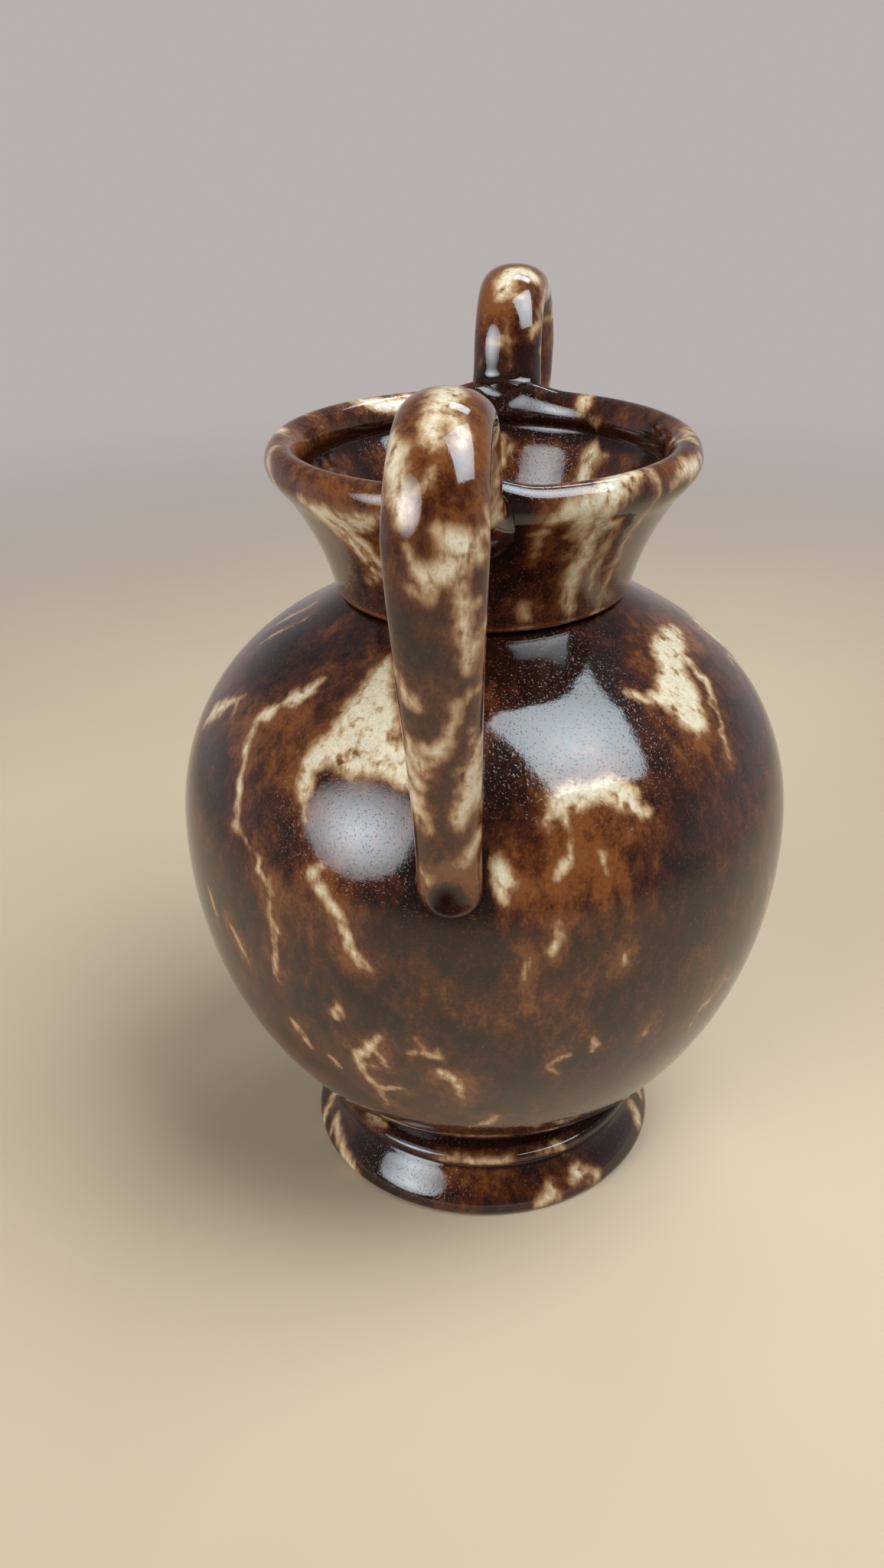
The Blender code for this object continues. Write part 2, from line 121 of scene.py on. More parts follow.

# Where the glaze pooled and where shade is painted in as darker glaze: amounts, and reaches in mm
POOL_AND_SHADE_DEPTH = 2.5
JOINT_REACH = 2.0  # on the vase, from where a handle meets it
END_REACH, ROOT_REACH, JOINT_LEAST = 1.1, 2.0, 0.6  # on the handle itself
PIT_ALONG, PIT_SHIFT = 3.938, (0.8 * SCOOP_DEPTH, 0.5, 0)  # painted shade in the thumb press's pit
PIT_SHADE_AMOUNT, PIT_REACH = 2.4, (2.6, 2.2, 2.6)
# painted shade in the groove under the collar and in the lip's inner crease, partly pooled glaze
GROOVE_SHADE_AMOUNT, GROOVE_BELOW_EDGE, GROOVE_FADE, GROOVE_RADIUS = 2.2, 0.7, 0.6, 24
CREASE_REACH, FOOT_GROOVE_REACH = 1.6, 0.8
# where shade is painted into the grooves under and over the bead, partly pooled glaze
UNDER_BEAD = BAND_TOP_RADIUS - 0.3, BAND_HEIGHT + 0.2
OVER_BEAD = BELLY_BASE_RADIUS + 1.2, FOOT_HEIGHT - 0.5
EDGE_WEAR_AND_HIGHLIGHT, WEAR_AND_HIGHLIGHT_DROP, WEAR_AND_HIGHLIGHT_REACH = 0.8, 0.1, 0.5  # where it wore thin along the collar's base edge, which also paints a highlight there

BELLY_BASE_Z = FOOT_HEIGHT + JOINT_GAP
WIDEST_Z = BELLY_BASE_Z + BELLY_DROP * math.sqrt(1 - (BELLY_BASE_RADIUS / BELLY_RADIUS) ** 2)


def globe_height(radius, half_width, rise, fullness):
    return rise * (1 - (radius / half_width) ** fullness) ** (1 / fullness)


def globe_radius(height, half_width, rise, fullness):
    share = np.clip(np.abs(height) / rise, 0, 1)
    return half_width * (1 - share ** fullness) ** (1 / fullness)


SEAT_Z = WIDEST_Z + globe_height(NECK_SEAT_RADIUS, *UPPER_HALF)
COLLAR_Z = SEAT_Z + JOINT_GAP
COLLAR_EDGE_Z = COLLAR_Z + COLLAR_GROOVE_HEIGHT + COLLAR_BASE_ROUND
CONE_TOP_Z = COLLAR_EDGE_Z + COLLAR_CONE_HEIGHT
LIP_EDGE_Z = CONE_TOP_Z + LIP_UNDERSIDE
LIP_CREST_Z = LIP_EDGE_Z + LIP_HEIGHT
CREASE_Z = LIP_CREST_Z - LIP_INNER_DROP - CREASE_HEIGHT

# ---- veins read off the photograph
# A stroke is a list of (across, along, half width in mm). Across is degrees round the vase, or
# round a handle's section. Along is height in mm on the belly and the foot. On the collar it
# counts base edge 0, top of the cone 1, lip's edge 2, crest 3, inner crease 4, throat 5. On a
# handle it counts root 0, start of the arch 1, crown 2, end of the arch 3, tip 4.

BELLY_VEINS = [
    # The patch left of the near handle, and the long vein beside it
    [(-25.5, 120.5, 1.0), (-23.5, 117.5, 3.0), (-21.5, 114.5, 5.0), (-21, 112, 6.0)],
    [(-22, 111.5, 4.5), (-28, 109.8, 2.5), (-31, 107.5, 1.6), (-30, 104, 1.6), (-28.8, 102, 1.0)],
    [(-18, 111, 4.5), (-12, 110, 3.5), (-9, 108.5, 2)],
    [(-41, 117, 1.2), (-44, 114, 1.8), (-48, 112, 1.5), (-50, 109, 1.4), (-49.5, 105.5, 1.3)],
    [(-49.5, 105.5, 1.3), (-47, 102.5, 0.9), (-45, 98.5, 1.2), (-43.5, 94, 1.3)],
    [(-62, 110, 0.6), (-66, 107.5, 1.5), (-70, 104.5, 1.8), (-73, 101, 1.2)],
    [(-86, 121, 0.8), (-87, 118, 1.0), (-88, 115, 0.6)],
    [(-77, 120, 0.5), (-79, 117, 0.9), (-80, 114, 0.5)],
    [(-56, 122.3, 0.5), (-57, 121, 0.8)],
    [(-43.5, 94, 0.5), (-39.5, 92, 0.0), (-36, 90.5, 0.4), (-35.5, 88.5, 0.9), (-33.5, 86, 0.2)],
    # The patch on the right of the shoulder
    [(84, 118.5, 2.0), (68, 118, 3), (62, 116, 3.5), (57, 113.5, 4), (57, 111, 3)],
    [(72, 116, 1.5), (70, 113, 1.3), (66, 110.7, 1.2)],
    [(56, 114, 2), (47, 115, 1.2), (44, 116.5, 1.0)],
    [(66, 110.5, 0.6), (62, 107, 0.5), (60, 103, 0.5)],
    # Below it, right of the near handle
    [
        (18, 103.5, 0.8), (20, 105.5, 2.2), (24, 106, 2.5),
        (29, 106, 2.2), (33, 103.5, 2.2), (35, 101.5, 1.2),
    ],
    [(15.5, 103, 0.8), (18, 104, 1)],
    [(20, 104, 1.0), (20.3, 101, 0.6), (20.2, 98, 0.7), (19, 96.3, 1.3), (17.5, 94.5, 1.0)],
    [(25.5, 98, 0.4), (25.8, 96, 0.9), (26.3, 94, 0.5)],
    [(7, 97, 2.0), (7.5, 94.5, 2.7), (8, 91.5, 1.4)],
    # The lower half, right and left
    [(18, 87, 0.5), (17, 84, 0.9), (16.5, 81.5, 1.1)],
    [(12.3, 81, 0.4), (12, 77, 0.9)],
    [(29, 79.5, 0.6), (29, 76.5, 1.0)],
    [(50, 56, 0.5), (56, 60, 0.9)],
    [(36, 60, 0.6), (36, 57.5, 1.0)],
    [(24, 61, 0.4), (26, 58.5, 0.8)],
    [(17.5, 56, 0.5), (20, 57.5, 0.8)],
    [(3, 33.5, 0.6), (6, 36, 1.3), (9, 40, 0.6)],
    [
        (-23, 94, 0.9), (-24, 91, 1.6), (-21, 88.5, 1.5), (-18.5, 86.5, 1.2),
        (-17.7, 83, 1.1), (-16, 79, 1.3), (-15, 77.5, 0.6),
    ],
    [(-33, 88, 0.4), (-33, 82, 0.6), (-32.5, 77, 0.7), (-33, 70, 0.8), (-33.5, 68, 0.5)],
    [(-45, 73, 0.5), (-43, 70, 0.9), (-41, 67, 0.5)],
    [(-53, 77, 0.4), (-51, 72, 0.6)],
    [(-20, 67, 0.5), (-21, 63.5, 0.8)],
    [(-32, 57.5, 0.6), (-31, 55, 1.2), (-29, 51, 0.6)],
    [(-25, 51, 0.4), (-23.5, 48, 0.7)],
    [
        (-12.5, 62, 0.5), (-15, 58, 1.2), (-18.5, 53.5, 1.3),
        (-17.5, 49, 1.1), (-15.4, 45.5, 1.3), (-11, 46.5, 0.7),
    ],
    [(-15.4, 45.5, 1.0), (-15.5, 39, 0.5)],
    [(-8.2, 58.5, 0.6), (-5.3, 58.8, 1.2), (-2.6, 58, 1.3), (-2.8, 61, 0.4)],
    [(-6.5, 62.5, 0.4), (-5.3, 59, 0.8)],
    [(-2.2, 54, 1.3), (0, 52.5, 1.3), (0.8, 49.5, 0.9), (1.4, 46.5, 0.8)],
    [(-22, 30.5, 1.2), (-17, 28.5, 1.6), (-12, 27, 0.9)],
]
COLLAR_VEINS = [
    [
        (21, 1.7, 0.8), (26, 1.9, 1.6), (31, 2.1, 2.1),
        (37, 2.4, 2.4), (42, 2.8, 2.4), (46, 2.9, 1.2),
    ],
    [(30, 2.0, 2.0), (31, 1.5, 2.0), (32, 1.1, 1.5)],
    [
        (36, 1.8, 1.6), (37, 1.2, 1.4), (36, 0.8, 1.6),
        (34, 0.55, 1.8), (35, 0.3, 1.2), (37, 0.12, 0.8),
    ],
    [(41, 1.4, 0.6), (43, 1.0, 0.6), (44, 0.6, 0.6), (43, 0.3, 0.4)],
    [(15, 1.35, 0.6), (18, 1.3, 0.9), (21, 1.45, 0.7)],
    [(19, 0.25, 0.5), (20, 0.1, 0.7)],
    [(62, 2.3, 1.2), (66, 2.5, 1.6), (72, 2.3, 1.8), (78, 2.2, 1.2)],
    [(88, 3.1, 0.6), (93, 3.0, 0.9), (98, 3.1, 0.5)],
    [(-72, 2.9, 0.5), (-69, 2.5, 0.8), (-63, 2.1, 0.7), (-60, 1.8, 0.5)],
    [(-44, 1.7, 1.0), (-40, 1.5, 2.0), (-34, 1.35, 2.2), (-27, 1.5, 1.8), (-22, 1.7, 1.2)],
    [(-41, 1.3, 1.6), (-37, 1.0, 1.5), (-33, 0.75, 1.2), (-30, 0.5, 0.8)],
    [(-36, 1.1, 1.0), (-30, 0.8, 0.8), (-26, 0.55, 0.6)],
    [(-21, 0.6, 0.6), (-20, 0.3, 0.8), (-18.5, 0.05, 0.6)],
    [(228, 3.2, 1.4), (220, 3.4, 1.8), (211, 3.3, 1.5)],
    [(151, 3.0, 0.9), (149, 3.4, 1.2), (149, 3.7, 0.7)],
    [(143, 4.02, 1.2), (141, 4.25, 1.7), (141, 4.5, 2.2), (140, 4.8, 1.4)],
    [(178, 4.1, 0.5), (178, 4.3, 0.8)],
]
RIGHT_HANDLE_VEINS = [
    [(4, 2.02, 2.4), (2, 2.15, 2.6), (-4, 2.3, 1.6), (-2, 2.45, 1.4)],
    [(2, 2.3, 1.0), (20, 2.35, 1.2), (34, 2.45, 1.0)],
    [(-62, 2.35, 1.0), (-55, 2.5, 2.0), (-42, 2.65, 1.8), (-32, 2.78, 1.6), (-26, 2.85, 0.8)],
    [(10, 2.88, 1.0), (25, 2.92, 2.0), (40, 2.97, 2.0), (55, 3.0, 1.4)],
    [(-12, 3.03, 1.0), (5, 3.04, 1.8), (20, 3.02, 2.0), (38, 3.0, 1.6)],
    [(2, 3.05, 1.2), (-3, 3.09, 0.7)],
    [(28, 3.06, 0.8), (34, 3.1, 1.3), (32, 3.15, 1.1), (38, 3.19, 0.8)],
    [(55, 3.19, 0.8), (45, 3.22, 1.0), (36, 3.25, 0.5)],
    [(-75, 3.26, 0.5), (-50, 3.31, 0.5), (-30, 3.34, 0.7), (-24, 3.33, 0.4)],
    [(30, 3.34, 0.6), (25, 3.37, 0.8), (14, 3.41, 0.5)],
    [(-75, 3.42, 0.6), (-50, 3.47, 0.9), (-25, 3.52, 1.2)],
    [(-14, 3.46, 1.4), (0, 3.46, 1.6), (8, 3.43, 0.8)],
    [(-80, 3.5, 0.8), (-60, 3.54, 1.5), (-40, 3.57, 1.4)],
    [(-72, 3.58, 1.4), (-58, 3.63, 1.8), (-42, 3.68, 1.2), (-25, 3.71, 0.6)],
    [(75, 3.46, 0.8), (62, 3.5, 1.6), (50, 3.56, 2.0), (38, 3.63, 1.8), (22, 3.69, 1.0)],
    [(70, 3.55, 1.5), (72, 3.65, 1.0)],
    [(70, 3.73, 0.8), (50, 3.77, 1.2), (25, 3.81, 0.8)],
    [(-50, 3.978, 0.3), (-20, 3.99, 1.3), (20, 3.992, 1.4), (50, 3.98, 0.5)],
]
LEFT_HANDLE_VEINS = [
    [(12, 1.55, 1.2), (10, 1.68, 2.6), (-5, 1.8, 2.8), (-30, 1.82, 2.2), (-55, 1.78, 1.2)],
    [(37, 1.40, -0.5), (40, 1.2, -0.4), (45, 1.0, -0.5)],
    [(4, 1.38, -0.5), (-4, 1.2, -0.4), (-10, 1.02, -0.5)],
    [(-75, 2.95, 1.0), (-75, 3.05, 1.4)],
]
FOOT_VEINS = [
    [(-62, 6, 0.8), (-55, 4, 1.2), (-48, 2.5, 1.5), (-42, 1.5, 1.0)],
    [(24, 1.8, 1.2), (28, 3, 1.4), (29, 4.6, 1.0)],
    [(36, 4.6, 1.0), (40, 5.2, 1.6), (43, 4.6, 1.0)],
    [(46, 3.2, 1.0), (46, 1.8, 0.6)],
    [(74, 3, 0.8), (78, 5, 1.2), (80, 7, 0.6)],
    [(-45, 14, 1.2), (-36, 13.5, 1.2)],
    [(-4, 12.6, 0.5), (4, 12.2, 0.8), (14, 12.2, 0.6)],
    [(27, 12.5, 0.5), (33, 13, 0.7)],
]

# Where the brown is warmer (above 0) or darker (below 0): across, along, reach in mm, amount.
BELLY_TONES = [
    (-40, 106, 9, 0.4), (-33, 102, 9, 0.4), (52, 105, 10, 0.4), (20, 92, 10, 0.4),
    (14, 88, 8, 0.3), (30, 97, 10, 0.3), (-30, 86, 9, 0.3), (25, 118, 14, -1.5),
    (-75, 118, 9, -0.8), (-47, 111, 11, 0.4), (-60, 106, 9, 0.4), (0, 72, 14, -0.4),
    (-65, 88, 10, -0.4), (70, 90, 12, 0.2), (45, 84, 9, -0.3),
]
COLLAR_TONES = [
    (0, 0.4, 12, -0.5), (60, 1.0, 9, -0.5), (-60, 1.0, 9, -0.5), (10, 2.6, 9, 0.3),
    # (178, 3.3): painted shade in the hollow inside the lip under the far handle's root
    (-30, 0.9, 6, 0.4), (178, 3.3, 5.5, -2.0),
]
RIGHT_HANDLE_TONES = [
    (-20, 2.6, 7, 0.7), (5, 3.86, 4.5, 1.4), (-10, 3.15, 6, -0.2), (5, 3.6, 5, -0.1),
]
LEFT_HANDLE_TONES = [(10, 1.45, 6, 1.2), (0, 1.1, 14, -1.0)]
FOOT_TONES = [(0, 7, 300, -0.8), (4, 5, 10, 1.0), (-45, 7, 12, -0.8), (60, 8, 9, -0.6)]

# Where veins wander at random, on the sides that the photograph doesn't show:
# across from and to, along from and to, how many, half width, length in mm.
BELLY_WILDS = [
    (95, 262, 106, 121, 11, (1.6, 4.2), (8, 22)),
    (92, 266, 80, 112, 24, (0.7, 1.7), (10, 30)),
    (90, 268, 22, 82, 26, (0.6, 1.3), (6, 20)),
    (60, 90, 40, 100, 6, (0.6, 1.2), (8, 18)),
    (-90, -58, 40, 95, 6, (0.6, 1.2), (8, 18)),
]
COLLAR_WILDS = [
    (105, 285, 0.2, 2.0, 20, (0.7, 2.0), (6, 16)),
    (80, 280, 2.0, 3.1, 11, (0.7, 1.8), (5, 13)),
    (-90, 90, 3.7, 4.9, 6, (0.6, 1.6), (5, 14)),
]
HANDLE_WILDS = [
    (100, 260, 0.8, 3.8, 24, (0.6, 1.7), (5, 14)),
]
LEFT_HANDLE_WILDS = HANDLE_WILDS + [
    (-85, 85, 2.0, 3.9, 24, (0.6, 2.0), (5, 14)),
]
RIGHT_HANDLE_WILDS = HANDLE_WILDS + [
    (-80, 80, 1.0, 1.9, 6, (0.6, 1.6), (5, 12)),
]
FOOT_WILDS = [
    (90, 290, 1.5, 9, 15, (0.6, 1.5), (4, 12)),
    (90, 300, 11, 14, 6, (0.5, 0.9), (4, 9)),
]

# ---- profiles: (radius, height) in mm


def arc(centre, radius, start, end, steps=40):
    turn = np.radians(np.linspace(start, end, steps + 1))
    across = centre[0] + radius[0] * np.cos(turn)
    return np.column_stack((across, centre[1] + radius[1] * np.sin(turn)))


def bezier(start, first_handle, second_handle, end, steps=60):
    t = np.linspace(0, 1, steps + 1)[:, None]
    corners = np.array([start, first_handle, second_handle, end], float)
    weights = np.hstack(((1 - t) ** 3, 3 * t * (1 - t) ** 2, 3 * t * t * (1 - t), t ** 3))
    return weights @ corners


def flared(start, start_flare, end, end_flare, steps=60):
    """A curve that leaves and arrives at a flare, which is mm outwards a mm upwards."""
    third = (start[1] - end[1]) / 3
    first_handle = start[0] - start_flare * third, start[1] - third
    second_handle = end[0] + end_flare * third, end[1] + third
    return bezier(start, first_handle, second_handle, end, steps)


def gaps(points):
    return np.linalg.norm(np.diff(points, axis=0), axis=1)


def run_of(points):
    """How far along a line each of its points lies."""
    return np.append(0, np.cumsum(gaps(points)))


def rows_at(at, marks, rows):
    """Rows interpolated from those given at the marks."""
    return np.column_stack([np.interp(at, marks, column) for column in rows.T])


def joined(*stretches):
    points = np.vstack([np.atleast_2d(np.array(s, float)) for s in stretches])
    return points[np.append(True, gaps(points) > SAME_POINT)]


def even(points, spacing):
    """The same line with points about spacing apart, its ends kept."""
    run = run_of(points)
    at = np.linspace(0, run[-1], max(int(round(run[-1] / spacing)), 1) + 1)
    return rows_at(at, run, points)


def even_loop(points, spacing):
    return even(np.vstack((points, points[:1])), spacing)[:-1]


def eased_loop(points, fine, passes, spacing):
    """A closed line with its corners eased, as glaze eases them, and points spacing apart."""
    points = even_loop(points, fine)
    for _ in range(passes):
        points = (np.roll(points, 1, 0) + 2 * points + np.roll(points, -1, 0)) / 4
    return even_loop(points, spacing)


def globe(half_width, rise, drop, top_radius, bottom_radius, steps=120):
    top = globe_height(top_radius, half_width, rise, SHOULDER_FULLNESS)
    bottom = globe_height(bottom_radius, half_width, drop, LOWER_FULLNESS)
    above = rise * np.sin(np.linspace(math.asin(top / rise), 0, steps))
    below = drop * np.sin(np.linspace(0, math.asin(bottom / drop), steps))
    shoulder = globe_radius(above, half_width, rise, SHOULDER_FULLNESS)
    lower = globe_radius(below, half_width, drop, LOWER_FULLNESS)
    return joined(
        np.column_stack((shoulder, WIDEST_Z + above)),
        np.column_stack((lower, WIDEST_Z - below)),
    )


def belly_profile():
    """From the middle of the floor up the inside, over the seat and down the skin to the base."""
    inner_radius, inner_drop = BELLY_RADIUS - BELLY_WALL, BELLY_DROP - BELLY_WALL
    floor_z, base_z = BELLY_BASE_Z + BELLY_FLOOR, BELLY_BASE_Z - JOINT_OVERLAP
    floor_radius = globe_radius(WIDEST_Z - floor_z, inner_radius, inner_drop, LOWER_FULLNESS)
    inside = globe(inner_radius, BELLY_RISE - BELLY_WALL, inner_drop, THROAT_RADIUS, floor_radius)
    outside = globe(BELLY_RADIUS, BELLY_RISE, BELLY_DROP, NECK_SEAT_RADIUS, BELLY_BASE_RADIUS)
    near_neck = (COVE_RADIUS - outside[:, 0]) / (COVE_RADIUS - NECK_SEAT_RADIUS)
    upper = outside[:, 1] > WIDEST_Z
    outside[:, 1] += upper * COVE_HEIGHT * np.clip(near_neck, 0, 1) ** 2
    return joined(
        even(np.array([(0, floor_z), (floor_radius, floor_z)]), FLAT_SPACING),
        even(inside[::-1], INSIDE_SPACING),
        [(THROAT_RADIUS, SEAT_Z), (COLLAR_SEAT_RADIUS + JOINT_GAP, SEAT_Z)],
        even(outside, SKIN_SPACING),
        [(BELLY_BASE_RADIUS, base_z)],
        even(np.array([(BELLY_BASE_RADIUS - BASE_CORNER, base_z), (0, base_z)]), FLAT_SPACING),
    )


def collar_outside(bottom_z):
    """From the lip's crest down the outside to the bottom of the groove."""
    lip_edge, cone_top = (LIP_RADIUS, LIP_EDGE_Z), (COLLAR_TOP_RADIUS, CONE_TOP_Z)
    flare = (LIP_RADIUS - COLLAR_TOP_RADIUS) / LIP_UNDERSIDE
    edge_middle = (COLLAR_BASE_RADIUS - COLLAR_BASE_ROUND, COLLAR_EDGE_Z)
    edge = arc(edge_middle, (COLLAR_BASE_ROUND, COLLAR_BASE_ROUND), 0, -90)
    return joined(
        arc((LIP_CREST_RADIUS, LIP_EDGE_Z), (LIP_RADIUS - LIP_CREST_RADIUS, LIP_HEIGHT), 90, 0),
        flared(lip_edge, 0, cone_top, flare),
        flared(cone_top, flare, (COLLAR_BASE_RADIUS, COLLAR_EDGE_Z), COLLAR_BASE_FLARE),
        edge,
        [(COLLAR_SEAT_RADIUS, edge[-1][1]), (COLLAR_SEAT_RADIUS, bottom_z)],
    )


def collar_inside(bottom_z):
    """From the throat up the bore and over the crease to the lip's crest."""
    throat, bore_top = (THROAT_RADIUS, COLLAR_Z), (COLLAR_TOP_RADIUS - COLLAR_WALL, CONE_TOP_Z)
    roll_z = LIP_CREST_Z - LIP_INNER_DROP
    roll = (LIP_CREST_RADIUS - LIP_INNER_RADIUS, LIP_INNER_DROP)
    return joined(
        [(THROAT_RADIUS, bottom_z)],
        flared(throat, BORE_BASE_FLARE, bore_top, BORE_TOP_FLARE),
        [(LIP_INNER_RADIUS + CREASE_DEPTH, CREASE_Z)],
        arc((LIP_CREST_RADIUS, roll_z), roll, 180, 90),
    )


def foot_profile(top_z):
    """From the top down the bead, the band and the rim, and up the recess."""
    rim_middle = (FOOT_RADIUS - FOOT_EDGE_ROUND, FOOT_EDGE_ROUND)
    rim = arc(rim_middle, (FOOT_EDGE_ROUND, FOOT_EDGE_ROUND), 0, -90)
    bead_middle = (BEAD_REACH - BEAD_RADIUS, BAND_HEIGHT + BEAD_RADIUS + BEAD_GROOVE)
    return joined(
        [(BELLY_BASE_RADIUS, top_z), (BELLY_BASE_RADIUS + FOOT_LEDGE, FOOT_HEIGHT)],
        arc(bead_middle, (BEAD_RADIUS, BEAD_RADIUS), BEAD_WRAP, -BEAD_WRAP),
        flared((BAND_TOP_RADIUS, BAND_HEIGHT), -BAND_FLARE, rim[0], 0),
        rim,
        [(FOOT_RING_INNER_RADIUS, 0), (FOOT_BORE_RADIUS, FOOT_HEIGHT), (FOOT_BORE_RADIUS, top_z)],
    )


# ---- from (across, along) to a place


def round_axis(degrees, radius, z):
    turn = np.radians(degrees)
    return np.column_stack((radius * np.cos(turn), radius * np.sin(turn), z + 0 * turn))


def on_belly(across, along):
    above = globe_radius(along - WIDEST_Z, *UPPER_HALF)
    below = globe_radius(along - WIDEST_Z, *LOWER_HALF)
    return round_axis(across, np.where(along > WIDEST_Z, above, below), along)


def on_collar(across, along):
    marks = np.array([
        (COLLAR_BASE_RADIUS, COLLAR_EDGE_Z),
        (COLLAR_TOP_RADIUS, CONE_TOP_Z),
        (LIP_RADIUS, LIP_EDGE_Z),
        (LIP_CREST_RADIUS, LIP_CREST_Z),
        (LIP_INNER_RADIUS, LIP_CREST_Z - LIP_INNER_DROP),
        (THROAT_RADIUS, COLLAR_Z),
    ])
    near = rows_at(along, range(len(marks)), marks)
    line = np.vstack((collar_inside(COLLAR_Z), collar_outside(COLLAR_Z)))
    nearest = np.linalg.norm(near[:, None] - line[None], axis=2).argmin(1)
    return round_axis(across, line[nearest, 0], line[nearest, 1])


def on_foot(across, along):
    line = foot_profile(FOOT_HEIGHT)
    line = line[: line[:, 1].argmin()]
    line = line[line[:, 1].argsort()]
    return round_axis(across, np.interp(along, line[:, 1], line[:, 0]), along)


def handle_route(rise, steps=60):
    """The strap's middle line, one row a point.

    A row holds the distance from the axis, the height, the share of the full section and along.
    """
    crown_share = CROWN_WIDTH / HANDLE_WIDTH
    root = (LIP_RADIUS - ROOT_DEPTH, LIP_EDGE_Z - ROOT_DROP)
    ascent_x = LIP_RADIUS + ASCENT_OFF_LIP
    span = HANDLE_REACH - HANDLE_THICKNESS / 2 - ascent_x
    crown_z = LIP_CREST_Z + rise - crown_share * HANDLE_THICKNESS / 2
    middle = (ascent_x + span / 2, crown_z - ARCH_HEIGHT)
    arch = arc(middle, (span / 2, ARCH_HEIGHT), 180, 0, steps)
    ascent = bezier(
        root,
        ((root[0] + ascent_x) / 2, root[1] + ROOT_DROP / 2),
        (ascent_x, root[1] + ROOT_DROP),
        arch[0],
        steps // 2,
    )
    landing = globe_radius(LANDING_ABOVE_WIDEST, *UPPER_HALF)
    tip_x, tip_z = landing - LANDING_SINK, WIDEST_Z + LANDING_ABOVE_WIDEST
    descent = flared(arch[-1], 0, (tip_x, tip_z), LANDING_SLOPE, 2 * steps)
    t = np.linspace(0, 1, len(ascent))
    narrowing = crown_share * (1 + (ROOT_FLARE - 1) * (1 - t) ** 2)
    up = np.column_stack((ascent, narrowing, t))
    t = np.linspace(0, 1, len(arch))
    widening = crown_share + (1 - crown_share) * np.maximum(2 * t - 1, 0)
    over = np.column_stack((arch, widening, 1 + 2 * t))[1:]
    t = np.linspace(0, 1, len(descent))
    taper = 1 - (1 - HANDLE_END_WIDTH / HANDLE_WIDTH) * np.sin(np.pi / 2 * t)
    fallen = (arch[-1][1] - descent[:, 1]) / (arch[-1][1] - tip_z)
    down = np.column_stack((descent, taper, 3 + fallen))[1:]
    down = down[down[:, 1] > tip_z + TONGUE_LENGTH]
    along = np.sin(np.linspace(0, np.pi / 2, TONGUE_STEPS + 1)[1:, None])
    last, tip = down[-1], np.array((tip_x, tip_z, 0, 4))
    tongue = last + (tip - last) * along
    tongue[:, 2] = last[2] * np.sqrt(1 - (1 - TONGUE_TIP_SHARE ** 2) * along[:, 0] ** 2)
    return np.vstack((up, over, down, tongue))


def handle_frame(route):
    """The way out of the arch, square to the middle line, at each point of it."""
    run = np.gradient(route[:, :2], axis=0)
    run /= np.linalg.norm(run, axis=1)[:, None]
    return np.column_stack((-run[:, 1], run[:, 0]))


def strap_points(middle, out, share, degrees):
    """Points on the strap's section, 0 degrees being the middle of its outer face."""
    turn = np.radians(degrees)
    through, across = (
        np.sign(way) * np.abs(way) ** (2 / SECTION_FULLNESS) * share * size / 2
        for way, size in ((np.cos(turn), HANDLE_THICKNESS), (np.sin(turn), HANDLE_WIDTH))
    )
    x = middle[:, 0] + out[:, 0] * through
    return np.column_stack((x, across, middle[:, 1] + out[:, 1] * through))


def on_handle(rise):
    route = handle_route(rise)
    table = np.column_stack((route[:, :3], handle_frame(route)))

    def place(across, along):
        row = rows_at(along, route[:, 3], table)
        return strap_points(row[:, :2], row[:, 3:], row[:, 2], across)

    return place


# ---- veins and tones on the vertices


def wandering(place, wilds, rng):
    """Strokes that start in a wild range and run on, mostly downwards, some with a branch."""
    strokes = []
    for low, high, under, over, count, widths, lengths in wilds:
        for i in range(count):
            across = low + (high - low) * (i + rng.random()) / count
            along = rng.uniform(under, over)
            heading = rng.gauss(DOWN, START_SPREAD)
            length, width = rng.uniform(*lengths), rng.uniform(*widths)
            runs = [(heading, length, width)]
            if rng.random() < BRANCH_SHARE:
                heading += rng.choice((-1, 1)) * rng.uniform(*BRANCH_TURN)
                runs.append((heading, length * BRANCH_LENGTH, width * BRANCH_WIDTH))
            for run in runs:
                strokes.append(walked(place, across, along, *run, under, over, rng))
    return strokes


def haired(place, strokes, rng):
    """The strokes with short thin hairs running off them, as the glaze crept."""
    hairs = []
    for stroke in strokes:
        for across, along, width in stroke:
            if rng.random() < HAIR_SHARE:
                heading = rng.gauss(DOWN, HAIR_SPREAD)
                length = rng.uniform(SHORTEST_HAIR, LONGEST_HAIR + 2 * width)
                run = heading, length, rng.uniform(*HAIR_WIDTHS)
                hairs.append(walked(place, across, along, *run, -ANYWHERE, ANYWHERE, rng))
    return strokes + hairs


def walked(place, across, along, heading, length, width, under, over, rng):
    """A stroke that turns at random as it goes, its along kept from under to over."""
    stroke = []
    count = max(int(length / STROKE_STEP), 2)
    for i in range(count + 1):
        swell = math.sin(math.pi * (i + END_SHARE) / (count + 2 * END_SHARE)) ** SWELL
        stroke.append((across, along, width * swell * rng.uniform(*STEP_WIDTHS)))
        here, right, up = place(
            np.array([across, across + NUDGE, across]), np.array([along, along, along + NUDGE])
        )
        per_across = max(np.linalg.norm(right - here) / NUDGE, LEAST_ACROSS)
        per_along = max(np.linalg.norm(up - here) / NUDGE, LEAST_ALONG)
        heading += rng.gauss(0, TURN_SPREAD) + PULL_DOWN * (DOWN - heading)
        across += STROKE_STEP * math.cos(math.radians(heading)) / per_across
        along += STROKE_STEP * math.sin(math.radians(heading)) / per_along
        along = min(max(along, under), over)
    return stroke


